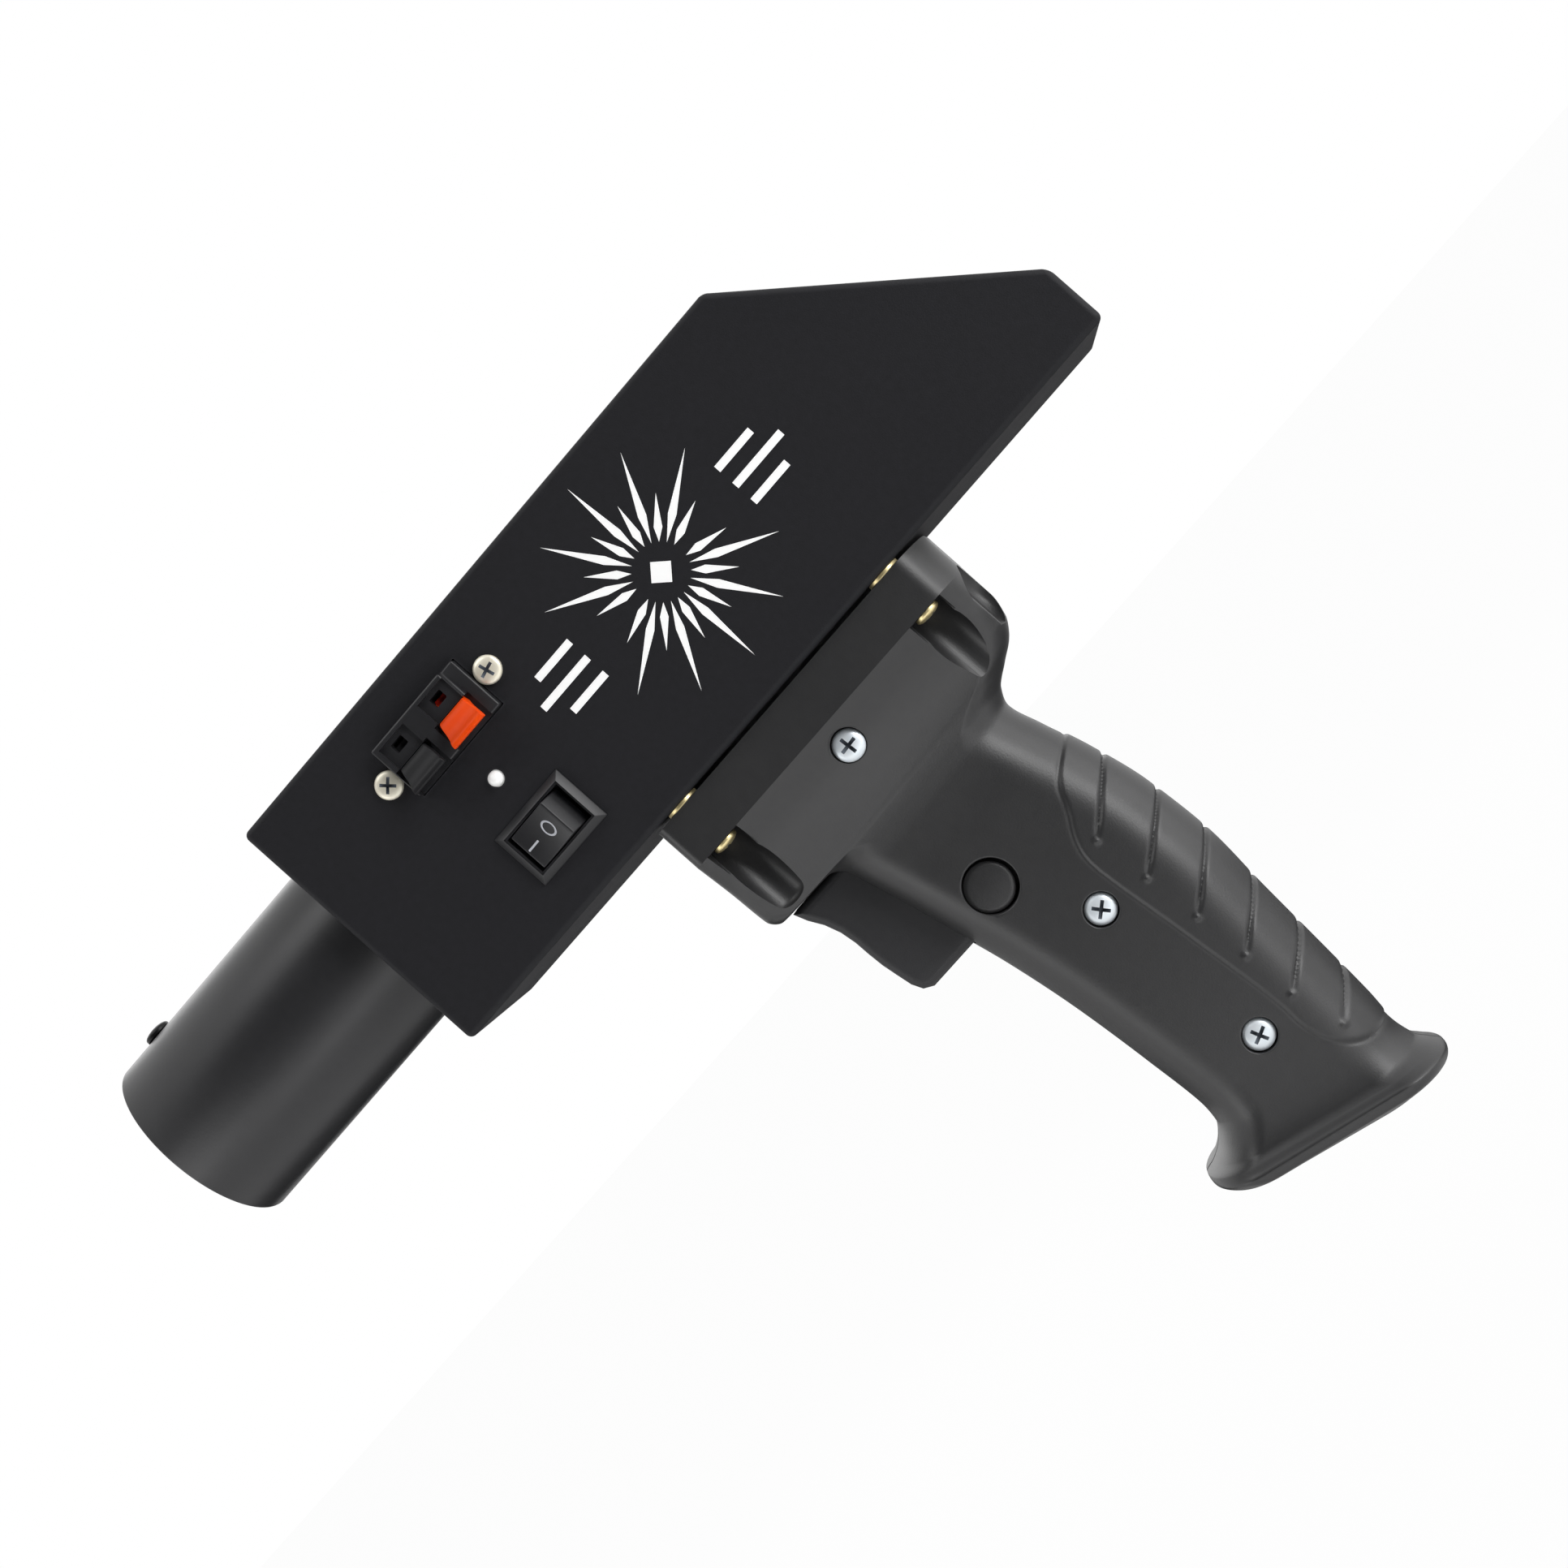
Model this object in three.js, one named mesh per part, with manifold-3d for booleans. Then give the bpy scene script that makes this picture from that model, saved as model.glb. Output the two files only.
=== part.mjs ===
// A hand-held cold spark machine: a folded steel body with a barrel for the spark cartridge,
// push terminals and a rocker switch on its side, and a moulded pistol grip with a trigger.
// Millimetres, +Z up. The origin is the centre of the flat cartridge seat inside the barrel:
// the barrel points to -X, the grip hangs down to -Z and the controls face -Y.

import * as THREE from 'three';
import { mergeVertices } from 'three/addons/utils/BufferGeometryUtils.js';
import Module from 'manifold-3d';

const wasm = await Module();
wasm.setup();

// Clearances and cutting allowances
const seatGap = 0.05;
const fitGap = 0.2;
const runGap = 0.3;
const splitGap = 0.1;
const overrun = 5;
const weldGap = 0.0001;

// Facet counts
const roundFacets = 48;
const boreFacets = 36;
const screwFacets = 12;
const cornerSteps = 4;
const bendSteps = 2;

// Body: folded tray and side cover
const bodyLength = 208;
const bodyHeight = 68;
const bodyWidth = 60;
const bodySlopeStart = 156.3;
const bodyRearHeight = 15.5;
const sheetThickness = 1.5;
const bendRadius = 1.6;
const tabWidth = 12;
const tabReach = 11;
const tabHoleInset = 6;
const tabEndInset = 16;
const wireHoleDiameter = 12;
const standoffDiameter = 6;
const standoffHeight = 10;
const boardHoleInset = 4;

// Barrel and cartridge sleeve
const barrelDiameter = 48;
const barrelWall = 2;
const barrelReach = 70;
const barrelFlangeThickness = 3;
const barrelFlangeMargin = 2;
const flangeCornerRadius = 4;
const flangeScrewInset = 5;
const sleeveBore = 32;
const sleeveSeatThickness = 3;
const sleeveMouthInset = 4;
const sleeveRingLength = 14;
const sleeveWaistWall = 2.5;
const sleeveChamfer = 1.5;
const sleeveScrewInset = 11.3;

// Controls on the side
const controlsX = 48;
const terminalDrop = 17.6;
const terminalLength = 26.8;
const terminalWidth = 14.5;
const terminalProud = 4.2;
const terminalPitch = 13.2;
const terminalOffset = 1.2;
const terminalEarLength = 42;
const terminalEarThickness = 2;
const terminalDepth = 9;
const terminalStepLength = 3.8;
const terminalStepDrop = 2;
const terminalWall = 1.2;
const leverWidth = 8.5;
const leverTipWidth = 9.9;
const leverProud = 8.2;
const leverPivotRadius = 1.1;
const leverPivotProud = 2.6;
const leverPivotHeight = -1.4;
const leverTongueHeight = 5.1;
const leverTongueThickness = 1;
const wireHoleWidth = 3.6;
const wireHoleHeight = 2.6;
const wireHoleCentre = 3.7;
const contactThickness = 0.5;
const contactWidth = 4;
const contactTail = 4.5;
const contactTopSink = 1.8;
const ledZ = -0.4;
const ledDiameter = 3.4;
const ledBodyLength = 5;
const ledRimWidth = 0.5;
const ledLegLength = 6;
const ledLegPitch = 2.54;
const ledLegThickness = 0.5;
const switchRise = 17.5;
const switchBezelLength = 21;
const switchBezelWidth = 15;
const switchBezelProud = 2;
const switchBezelSlope = 1.7;
const switchBodyLength = 18.9;
const switchBodyWidth = 12.8;
const switchBodyDepth = 12.1;
const switchWellLength = 16.6;
const switchWellWidth = 10.4;
const switchFloor = 1.5;
const rockerWidth = 9.8;
const rockerFaceLength = 11.2;
const rockerFaceHeight = 8;
const rockerShoulderLength = 15.7;
const rockerShoulderHeight = 2;
const rockerPivotRadius = 1.2;
const rockerPivotSink = 4.6;
const rockerTiltDegrees = 14;
const rockerDish = 0.5;
const switchTabWidth = 4.8;
const switchTabThickness = 0.8;
const switchTabLength = 7;
const switchTabPitch = 7;

// Pistol grip
const gripFront = 63;
const headLength = 85.7;
const headSideInset = 2;
const flangeDepth = 12.5;
const gripHeight = 166.4;
const handleThickness = 34;
const buttWidth = 42;
const gripWall = 2.5;
const gripTopPlate = 4;
const headFrontRadius = 2.5;
const headRearRunRound = 9;
const headRearSideRound = 17;
const handleFrontRound = 11;
const handleRearRound = 14;
const mountInset = 3.5;
const frontPocketRun = 7.4;
const rearPocketRun = 74;
const pocketRadius = 4.8;
const pocketEndDrop = 32.5;
const rearRecessDepth = 3.2;
const rearRecessPlace = 11.7;
const rearRecessHalfWidth = 9.6;
const rearRecessHalfHeight = 8.8;
const rearRecessDrop = 19.5;
const grooveDepth = 0.8;
const grooveWidth = 1.3;
const groovePitch = 13.6;
const grooveStartRun = 61;
const grooveStartDrop = 73.8;
const grooveDriftRun = 0.8;
const grooveRiseDegrees = 33;
const grooveReach = 34;
const grooveCount = 6;
const topScrewRun = 41.1;
const topScrewDrop = 19.3;
const topScrewOuter = 25.7;
const middleScrewRun = 50.2;
const middleScrewDrop = 84.7;
const lowerScrewRun = 52.6;
const lowerScrewDrop = 128.8;
const bossRadius = 5.2;
const gripScrewHeadSink = 2.6;
const gripScrewBlindDepth = 10;
const ribThickness = 1.6;
const ribReach = 6;
const gripRibDrops = [97, 112, 143];

// Trigger, its switch and its lock
const triggerTopDrop = 36.2;
const triggerBottomDrop = 69.4;
const triggerHalfWidth = 7.7;
const triggerLipRun = 3.4;
const triggerFingerRun = 8.6;
const triggerToeRun = 10.8;
const triggerRearRun = 33;
const triggerEdgeRound = 2;
const triggerTravel = 6.5;
const triggerWingHalfWidth = 9.3;
const triggerWingSetback = 6;
const triggerTongueLength = 12;
const triggerTongueThickness = 5;
const triggerTongueDrop = 60;
const triggerTongueHalfWidth = 3;
const triggerSpringDrop = 47;
const triggerSpringRadius = 3.2;
const triggerSpringWire = 0.9;
const triggerSpringTurns = 6;
const triggerSpringPocket = 11;
const switchBlockLength = 22;
const switchBlockTopDrop = 40;
const switchBlockBottomDrop = 67;
const switchBlockHalfWidth = 9;
const switchBlockRound = 1.5;
const lockRun = 37.6;
const lockDrop = 63.3;
const lockRecessRadius = 6.6;
const lockButtonRadius = 5.9;
const lockProud = 1;
const lockCapWall = 1.2;
const lockTravel = 2.5;
const lockCupWall = 1.7;
const lockCupFloorY = 11.3;
const lockCupFloor = 1.3;
const lockStemRadius = 2;
const lockStemReach = 1;
const lockSpringRadius = 3.4;
const lockSpringWire = 0.6;
const lockSpringTurns = 3;

// Fasteners
const coverScrewRadius = 1.45;
const coverScrewHeadRadius = 2.8;
const coverScrewLength = 6;
const sleeveScrewRadius = 1.9;
const sleeveScrewHeadRadius = 3.4;
const sleeveScrewHeadHeight = 1.9;
const terminalScrewRadius = 1.25;
const terminalScrewHeadRadius = 3.3;
const terminalScrewHeadHeight = 1.7;
const terminalNutFlats = 5;
const terminalNutHeight = 2;
const gripScrewRadius = 1.9;
const gripScrewHeadRadius = 3.75;
const gripScrewHeadHeight = 2.5;
const gripScrewRecess = 1.4;
const gripScrewSlotWidth = 1.2;
const gripScrewHeadGap = 0.35;
const mountScrewRadius = 1.9;
const mountScrewHeadRadius = 3.2;
const mountScrewHeadHeight = 2.4;
const mountNutFlats = 7;
const mountNutHeight = 3.2;
const washerRadius = 4.25;
const washerThickness = 0.9;

// Electronics inside the body
const cellDiameter = 18.4;
const cellLength = 65;
const cellCapLength = 1.5;
const cellCapRadius = 3;
const holderWall = 1.2;
const holderEndWall = 5;
const holderWallHeight = 13;
const holderRearGap = 17.8;
const boardLength = 44;
const boardHeight = 34;
const boardThickness = 1.6;
const boardStart = 76;
const boardLowest = -11;
const relayLength = 19;
const relayWidth = 15.5;
const relayHeight = 15;
const capacitorRadius = 4;
const capacitorHeight = 12;
const connectorLength = 12;
const connectorWidth = 6;
const connectorHeight = 8;
const loomRadius = 1.4;
const loomFacets = 8;
const loomSteps = 16;
const loomEndGap = 0.5;

// Positions that several pieces share
const bodyTop = bodyHeight / 2;
const bodyBottom = -bodyHeight / 2;
const controlFace = -bodyWidth / 2;
const terminalZ = bodyTop - terminalDrop;
const switchZ = bodyBottom + switchRise;
const coverFace = bodyWidth / 2;
const terminalScrewPitch = terminalLength + 2 * (terminalScrewHeadRadius + fitGap);
const trayEdge = coverFace - sheetThickness - seatGap;
const barrelRadius = barrelDiameter / 2;
const flangeFront = sheetThickness + seatGap;
const flangeHalf = bodyWidth / 2 - sheetThickness - barrelFlangeMargin;
const flangeScrewPlace = flangeHalf - flangeScrewInset;
const gripTop = bodyBottom - washerThickness - 2 * seatGap;
const headHalf = bodyWidth / 2 - headSideInset;
const handleHalf = handleThickness / 2;
const mountY = headHalf - mountInset;
const mountRuns = [frontPocketRun, rearPocketRun];
const triggerSwitchFront = gripFront + triggerRearRun + triggerTravel + runGap;
const triggerLoomX = triggerSwitchFront + switchBlockLength / 4;
const boardY = controlFace + sheetThickness + standoffHeight + seatGap;
const holderWidth = 2 * cellDiameter + 3 * holderWall + 4 * fitGap;
const holderLength = cellLength + cellCapLength + 2 * holderEndWall + 2 * fitGap;
const holderStart = bodyLength - sheetThickness - holderRearGap - holderLength;
const holderBottom = bodyBottom + sheetThickness + seatGap;
const below = (drop) => bodyBottom - drop;
const along = (run) => gripFront + run;

// Finishes
function finish(color, roughness, metalness) {
  return new THREE.MeshStandardMaterial({ color, roughness, metalness });
}
const blackPowderCoat = finish(0x28282b, 0.75, 0.1);
const blackBarrel = finish(0x2e2e32, 0.5, 0.6);
const aluminium = finish(0xb8babd, 0.4, 0.9);
const gripPlastic = finish(0x3c3c3e, 0.65, 0);
const triggerPlastic = finish(0x343436, 0.6, 0);
const blackPlastic = finish(0x1c1c1e, 0.45, 0);
const redPlastic = finish(0xff5014, 0.4, 0);
const whiteLens = finish(0xf2f2ee, 0.25, 0);
const nickel = finish(0xd8d6cc, 0.25, 1);
const zinc = finish(0xc4ccd6, 0.3, 1);
const blackScrew = finish(0x1a1a1a, 0.4, 0.8);
const brass = finish(0xc9a85a, 0.35, 1);
const springSteel = finish(0xa8a8ac, 0.35, 1);
const boardGreen = finish(0x1f5c34, 0.55, 0);
const cellWrap = finish(0x2f6fb0, 0.4, 0);
const wireRed = finish(0xb02018, 0.5, 0);

// Turns a closed geometry into a solid, its faces pointing outwards.
function solid(geometry) {
  const bare = geometry.index ? geometry.toNonIndexed() : geometry.clone();
  bare.deleteAttribute('normal');
  bare.deleteAttribute('uv');
  const merged = mergeVertices(bare, weldGap);
  const points = merged.attributes.position.array;
  const triangles = [];
  let volume = 0;
  for (let i = 0; i < merged.index.count; i += 3) {
    const [a, b, c] = [0, 1, 2].map((k) => merged.index.getX(i + k));
    if (a === b || b === c || c === a) continue;
    triangles.push(a, b, c);
    const [p, q, r] = [a, b, c].map((k) => new THREE.Vector3().fromArray(points, 3 * k));
    volume += p.dot(q.cross(r));
  }
  if (volume < 0) triangles.reverse();
  const mesh = new wasm.Mesh({
    numProp: 3,
    vertProperties: new Float32Array(points),
    triVerts: new Uint32Array(triangles),
  });
  return new wasm.Manifold(mesh);
}

function geometryOf(body) {
  const mesh = body.getMesh();
  const geometry = new THREE.BufferGeometry();
  geometry.setAttribute('position', new THREE.BufferAttribute(mesh.vertProperties, 3));
  geometry.setIndex(new THREE.BufferAttribute(mesh.triVerts, 1));
  geometry.computeVertexNormals();
  return geometry;
}

function joined(bodies) {
  return bodies.reduce((sum, body) => sum.add(body));
}

function cutBy(body, tools) {
  return tools.reduce((rest, tool) => rest.subtract(tool), body);
}

// A side view outline in X and Z, carried across from yLow to yHigh.
function sidePrism(shape, yLow, yHigh, bevel = 0) {
  const geometry = new THREE.ExtrudeGeometry(shape, {
    depth: yHigh - yLow - 2 * bevel,
    bevelEnabled: bevel > 0,
    bevelSize: bevel,
    bevelThickness: bevel,
    bevelOffset: -bevel,
    bevelSegments: bendSteps,
    curveSegments: cornerSteps,
  });
  geometry.rotateX(Math.PI / 2);
  geometry.translate(0, yHigh - bevel, 0);
  return solid(geometry);
}

// A front view outline in Y and Z, carried along from xLow to xHigh.
function frontPrism(shape, xLow, xHigh, curveSegments = cornerSteps) {
  const geometry = new THREE.ExtrudeGeometry(shape, {
    depth: xHigh - xLow,
    bevelEnabled: false,
    curveSegments,
  });
  const turn = new THREE.Matrix4().makeBasis(
    new THREE.Vector3(0, 1, 0),
    new THREE.Vector3(0, 0, 1),
    new THREE.Vector3(1, 0, 0),
  );
  geometry.applyMatrix4(turn);
  geometry.translate(xLow, 0, 0);
  return solid(geometry);
}

// A plan outline in X and Y, carried up from zLow to zHigh.
function upPrism(shape, zLow, zHigh) {
  const geometry = new THREE.ExtrudeGeometry(shape, {
    depth: zHigh - zLow,
    bevelEnabled: false,
    curveSegments: cornerSteps,
  });
  geometry.translate(0, 0, zLow);
  return solid(geometry);
}

// A block between two corners.
function block(low, high) {
  const size = high.map((value, i) => value - low[i]);
  const centre = high.map((value, i) => (value + low[i]) / 2);
  const geometry = new THREE.BoxGeometry(...size);
  geometry.translate(...centre);
  return solid(geometry);
}

// A turned piece. The profile lists radius and place along the axis.
function turned(profile, axis, centre, facets = boreFacets) {
  const points = profile.map(([radius, place]) => new THREE.Vector2(radius, place));
  const geometry = new THREE.LatheGeometry(points, facets);
  if (axis === 'x') geometry.rotateZ(-Math.PI / 2);
  if (axis === 'z') geometry.rotateX(Math.PI / 2);
  geometry.translate(...centre);
  return solid(geometry);
}

function rod(radius, axis, centre, low, high, facets = screwFacets) {
  const profile = [[0, low], [radius, low], [radius, high], [0, high]];
  return turned(profile, axis, centre, facets);
}

function polygon(points) {
  return new THREE.Shape(points.map(([x, y]) => new THREE.Vector2(x, y)));
}

// A closed outline whose corners are rounded.
function roundedPolygon(points, radius) {
  const corners = points.map(([x, y]) => new THREE.Vector2(x, y));
  const shape = new THREE.Shape();
  corners.forEach((corner, i) => {
    const before = corners[(i + corners.length - 1) % corners.length];
    const after = corners[(i + 1) % corners.length];
    const toBefore = before.clone().sub(corner).normalize();
    const toAfter = after.clone().sub(corner).normalize();
    const halfAngle = Math.acos(THREE.MathUtils.clamp(toBefore.dot(toAfter), -1, 1)) / 2;
    const reach = radius / Math.tan(halfAngle);
    const start = corner.clone().addScaledVector(toBefore, reach);
    const end = corner.clone().addScaledVector(toAfter, reach);
    if (i === 0) shape.moveTo(start.x, start.y);
    else shape.lineTo(start.x, start.y);
    shape.quadraticCurveTo(corner.x, corner.y, end.x, end.y);
  });
  shape.closePath();
  return shape;
}

function rectangle(xLow, xHigh, yLow, yHigh, radius = 0) {
  const points = [[xLow, yLow], [xHigh, yLow], [xHigh, yHigh], [xLow, yHigh]];
  return radius > 0 ? roundedPolygon(points, radius) : polygon(points);
}

// Moves each edge of a convex outline inwards.
function insetPolygon(points, inset) {
  const corners = points.map(([x, y]) => new THREE.Vector2(x, y));
  return corners.map((corner, i) => {
    const before = corners[(i + corners.length - 1) % corners.length];
    const after = corners[(i + 1) % corners.length];
    const inDirection = corner.clone().sub(before).normalize();
    const outDirection = after.clone().sub(corner).normalize();
    const inNormal = new THREE.Vector2(-inDirection.y, inDirection.x);
    const outNormal = new THREE.Vector2(-outDirection.y, outDirection.x);
    const middle = inNormal.clone().add(outNormal).normalize();
    const moved = corner.clone().addScaledVector(middle, inset / middle.dot(inNormal));
    return [moved.x, moved.y];
  });
}

// A hexagon nut's outline with its bore, standing across two flats.
function hexagon(flats, boreRadius) {
  const shape = new THREE.Shape();
  const corner = flats / Math.sqrt(3);
  for (let i = 0; i < 6; i += 1) {
    const angle = (i * Math.PI) / 3;
    const place = [corner * Math.cos(angle), corner * Math.sin(angle)];
    if (i === 0) shape.moveTo(...place);
    else shape.lineTo(...place);
  }
  shape.closePath();
  const bore = new THREE.Path();
  bore.absarc(0, 0, boreRadius, 0, 2 * Math.PI, true);
  shape.holes.push(bore);
  return shape;
}

// A coil spring as one unbroken round wire, from the origin up +Y in its own frame.
function coilSpring(radius, wire, turns, length) {
  const pointsPerTurn = 8;
  const rise = length - wire;
  const route = [];
  for (let i = 0; i <= turns * pointsPerTurn; i += 1) {
    const share = i / (turns * pointsPerTurn);
    const angle = 2 * Math.PI * turns * share;
    const height = wire / 2 + rise * share;
    route.push(new THREE.Vector3(radius * Math.cos(angle), height, radius * Math.sin(angle)));
  }
  return tube(route, wire / 2, turns * pointsPerTurn, 5);
}

// A closed round tube along a smooth route.
function tube(route, radius, steps, sides) {
  const section = new THREE.Shape();
  for (let i = 0; i < sides; i += 1) {
    const angle = (2 * Math.PI * i) / sides;
    const place = [radius * Math.cos(angle), radius * Math.sin(angle)];
    if (i === 0) section.moveTo(...place);
    else section.lineTo(...place);
  }
  section.closePath();
  return new THREE.ExtrudeGeometry(section, {
    steps,
    bevelEnabled: false,
    extrudePath: new THREE.CatmullRomCurve3(route),
  });
}

// Screws stand in their own frame: head up +Y, head's underside at the origin.
function domedScrew(radius, length, headRadius, headHeight, recess = 0, slotWidth = 0) {
  const crownShares = [[0.97, 0.4], [0.66, 0.86]];
  const crown = crownShares.map(([r, h]) => [headRadius * r, headHeight * h]);
  const profile = [[0, -length], [radius, -length], [radius, 0], [headRadius, 0]];
  const body = turned([...profile, ...crown, [0, headHeight]], 'y', [0, 0, 0], screwFacets);
  if (recess === 0) return geometryOf(body);
  const reachShare = 0.55;
  const reach = headRadius * reachShare;
  const half = slotWidth / 2;
  const floor = headHeight - recess;
  const top = headHeight + overrun;
  const cross = [
    block([-reach, floor, -half], [reach, top, half]),
    block([-half, floor, -reach], [half, top, reach]),
  ];
  return geometryOf(cutBy(body, cross));
}

function countersunkScrew(radius, length, headRadius, headHeight) {
  const profile = [[0, -length], [radius, -length], [radius, -headHeight], [headRadius, 0], [0, 0]];
  return geometryOf(turned(profile, 'y', [0, 0, 0], screwFacets));
}

const model = new THREE.Group();

function add(name, shape, material, position = [0, 0, 0], rotation = [0, 0, 0]) {
  const geometry = shape.isBufferGeometry ? shape : geometryOf(shape);
  const mesh = new THREE.Mesh(geometry, material);
  mesh.name = name;
  mesh.position.set(...position);
  mesh.rotation.set(...rotation);
  model.add(mesh);
}

// Body side view
const bodyCorners = [
  [0, bodyBottom],
  [bodyLength, bodyBottom],
  [bodyLength, bodyBottom + bodyRearHeight],
  [bodySlopeStart, bodyTop],
  [0, bodyTop],
];
const slopeFoot = new THREE.Vector2(bodyLength, bodyBottom + bodyRearHeight);
const slopeHead = new THREE.Vector2(bodySlopeStart, bodyTop);
const slopeMiddle = slopeFoot.clone().add(slopeHead).divideScalar(2);
const quarterTurn = Math.PI / 2;
const slopeNormal = slopeHead.clone().sub(slopeFoot).normalize();
slopeNormal.rotateAround(new THREE.Vector2(), quarterTurn);

// Each tab starts at the outside of a wall and runs inwards.
const coverTabs = [
  { name: 'top_front', at: [tabEndInset, bodyTop], inward: [0, -1] },
  { name: 'top_rear', at: [bodySlopeStart - tabEndInset, bodyTop], inward: [0, -1] },
  { name: 'bottom_front', at: [tabEndInset, bodyBottom], inward: [0, 1] },
  { name: 'bottom_middle', at: [bodyLength / 2, bodyBottom], inward: [0, 1] },
  { name: 'bottom_rear', at: [bodyLength - tabEndInset, bodyBottom], inward: [0, 1] },
  { name: 'slope', at: slopeMiddle.toArray(), inward: slopeNormal.toArray() },
];

function tabHole(tab) {
  const reach = sheetThickness + tabHoleInset;
  return [tab.at[0] + tab.inward[0] * reach, tab.at[1] + tab.inward[1] * reach];
}

function coverTab(tab) {
  const [ix, iz] = tab.inward;
  const half = tabWidth / 2;
  const place = (sideways, reach) => [
    tab.at[0] + ix * reach - iz * sideways,
    tab.at[1] + iz * reach + ix * sideways,
  ];
  const root = sheetThickness / 2;
  const tip = sheetThickness + tabReach;
  const outline = [place(-half, root), place(-half, tip), place(half, tip), place(half, root)];
  return sidePrism(polygon(outline.reverse()), trayEdge - sheetThickness, trayEdge);
}

const flangeScrewPlaces = [[-1, -1], [-1, 1], [1, -1], [1, 1]].map(([sy, sz]) => [
  sy * flangeScrewPlace,
  sz * flangeScrewPlace,
]);
const mountPlaces = mountRuns.flatMap((run) => [-1, 1].map((side) => [along(run), side * mountY]));
const gripMiddleX = along((frontPocketRun + rearPocketRun) / 2);
const loomHoleX = along(wireHoleDiameter);
const terminalScrewXs = [-1, 1].map((side) => controlsX + (side * terminalScrewPitch) / 2);
const boardPlaces = [boardHoleInset, boardLength - boardHoleInset].flatMap((dx) =>
  [boardHoleInset, boardHeight - boardHoleInset].map((dz) => [boardStart + dx, boardLowest + dz]),
);

function bodyShell() {
  const wide = sidePrism(polygon(bodyCorners), controlFace, coverFace + overrun, bendRadius);
  const openEnd = block(
    [-overrun, trayEdge, bodyBottom - overrun],
    [bodyLength + overrun, coverFace + 2 * overrun, bodyTop + overrun],
  );
  const inside = polygon(insetPolygon(bodyCorners, sheetThickness));
  const hollow = sidePrism(inside, controlFace + sheetThickness, coverFace + overrun);
  const standoffs = boardPlaces.map(([x, z]) =>
    rod(standoffDiameter / 2, 'y', [x, 0, z], controlFace + sheetThickness / 2, boardY - seatGap),
  );
  const sheet = joined([cutBy(wide, [openEnd, hollow]), ...coverTabs.map(coverTab), ...standoffs]);

  const panelLow = controlFace - overrun;
  const panelHigh = controlFace + sheetThickness + overrun / 2;
  const terminalWindow = rectangle(
    controlsX - terminalLength / 2 - fitGap,
    controlsX + terminalLength / 2 + fitGap,
    terminalZ - terminalWidth / 2 - fitGap,
    terminalZ + terminalWidth / 2 + fitGap,
  );
  const switchWindow = rectangle(
    controlsX - switchBodyLength / 2 - fitGap,
    controlsX + switchBodyLength / 2 + fitGap,
    switchZ - switchBodyWidth / 2 - fitGap,
    switchZ + switchBodyWidth / 2 + fitGap,
  );
  const holes = [
    rod(barrelRadius + fitGap, 'x', [0, 0, 0], -overrun, overrun, roundFacets),
    sidePrism(terminalWindow, panelLow, panelHigh),
    sidePrism(switchWindow, panelLow, panelHigh),
    rod(ledDiameter / 2 + fitGap, 'y', [controlsX, 0, ledZ], panelLow, panelHigh),
    rod(wireHoleDiameter / 2, 'z', [loomHoleX, 0, bodyBottom], -overrun, overrun),
    ...terminalScrewXs.map((x) =>
      rod(terminalScrewRadius + fitGap, 'y', [x, 0, terminalZ], panelLow, panelHigh),
    ),
    ...mountPlaces.map(([x, y]) =>
      rod(mountScrewRadius + fitGap, 'z', [x, y, bodyBottom], -overrun, overrun),
    ),
    ...coverTabs.map((tab) => {
      const [x, z] = tabHole(tab);
      return rod(coverScrewRadius + fitGap, 'y', [x, 0, z], trayEdge - overrun, coverFace + overrun);
    }),
    ...flangeScrewPlaces.map(([y, z]) => countersink('x', [0, y, z], 1)),
  ];
  return cutBy(sheet, holes);
}

// A countersunk hole that opens on a face. The face looks along the axis, or against it.
function countersink(axis, face, inward) {
  const profile = [
    [0, -overrun],
    [coverScrewHeadRadius + fitGap, -overrun],
    [coverScrewHeadRadius + fitGap, seatGap],
    [coverScrewRadius + fitGap, sheetThickness],
    [coverScrewRadius + fitGap, overrun],
    [0, overrun],
  ];
  return turned(profile.map(([r, place]) => [r, inward * place]), axis, face, screwFacets);
}

function sideCover() {
  const plate = sidePrism(roundedPolygon(bodyCorners, bendRadius), coverFace - sheetThickness, coverFace);
  const holes = coverTabs.map((tab) => {
    const [x, z] = tabHole(tab);
    return countersink('y', [x, coverFace, z], -1);
  });
  return cutBy(plate, holes);
}

function barrelTube() {
  const inner = barrelRadius - barrelWall;
  const rear = flangeFront + barrelFlangeThickness;
  const profile = [
    [inner, -barrelReach],
    [barrelRadius, -barrelReach],
    [barrelRadius, rear],
    [inner, rear],
    [inner, -barrelReach],
  ];
  const wall = turned(profile, 'x', [0, 0, 0], roundFacets);
  const plate = rectangle(-flangeHalf, flangeHalf, -flangeHalf, flangeHalf, flangeCornerRadius);
  const flange = frontPrism(plate, flangeFront, rear);
  const bore = rod(barrelRadius - barrelWall / 2, 'x', [0, 0, 0], -overrun, 2 * overrun, roundFacets);
  const screwHoles = flangeScrewPlaces.map(([y, z]) =>
    rod(coverScrewRadius + fitGap, 'x', [0, y, z], -overrun, 2 * overrun),
  );
  const sleeveHole = rod(
    sleeveScrewRadius + fitGap,
    'z',
    [sleeveScrewInset - barrelReach, 0, 0],
    inner - overrun,
    barrelRadius + overrun,
  );
  return cutBy(joined([flange.subtract(bore), wall]), [...screwHoles, sleeveHole]);
}

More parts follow.
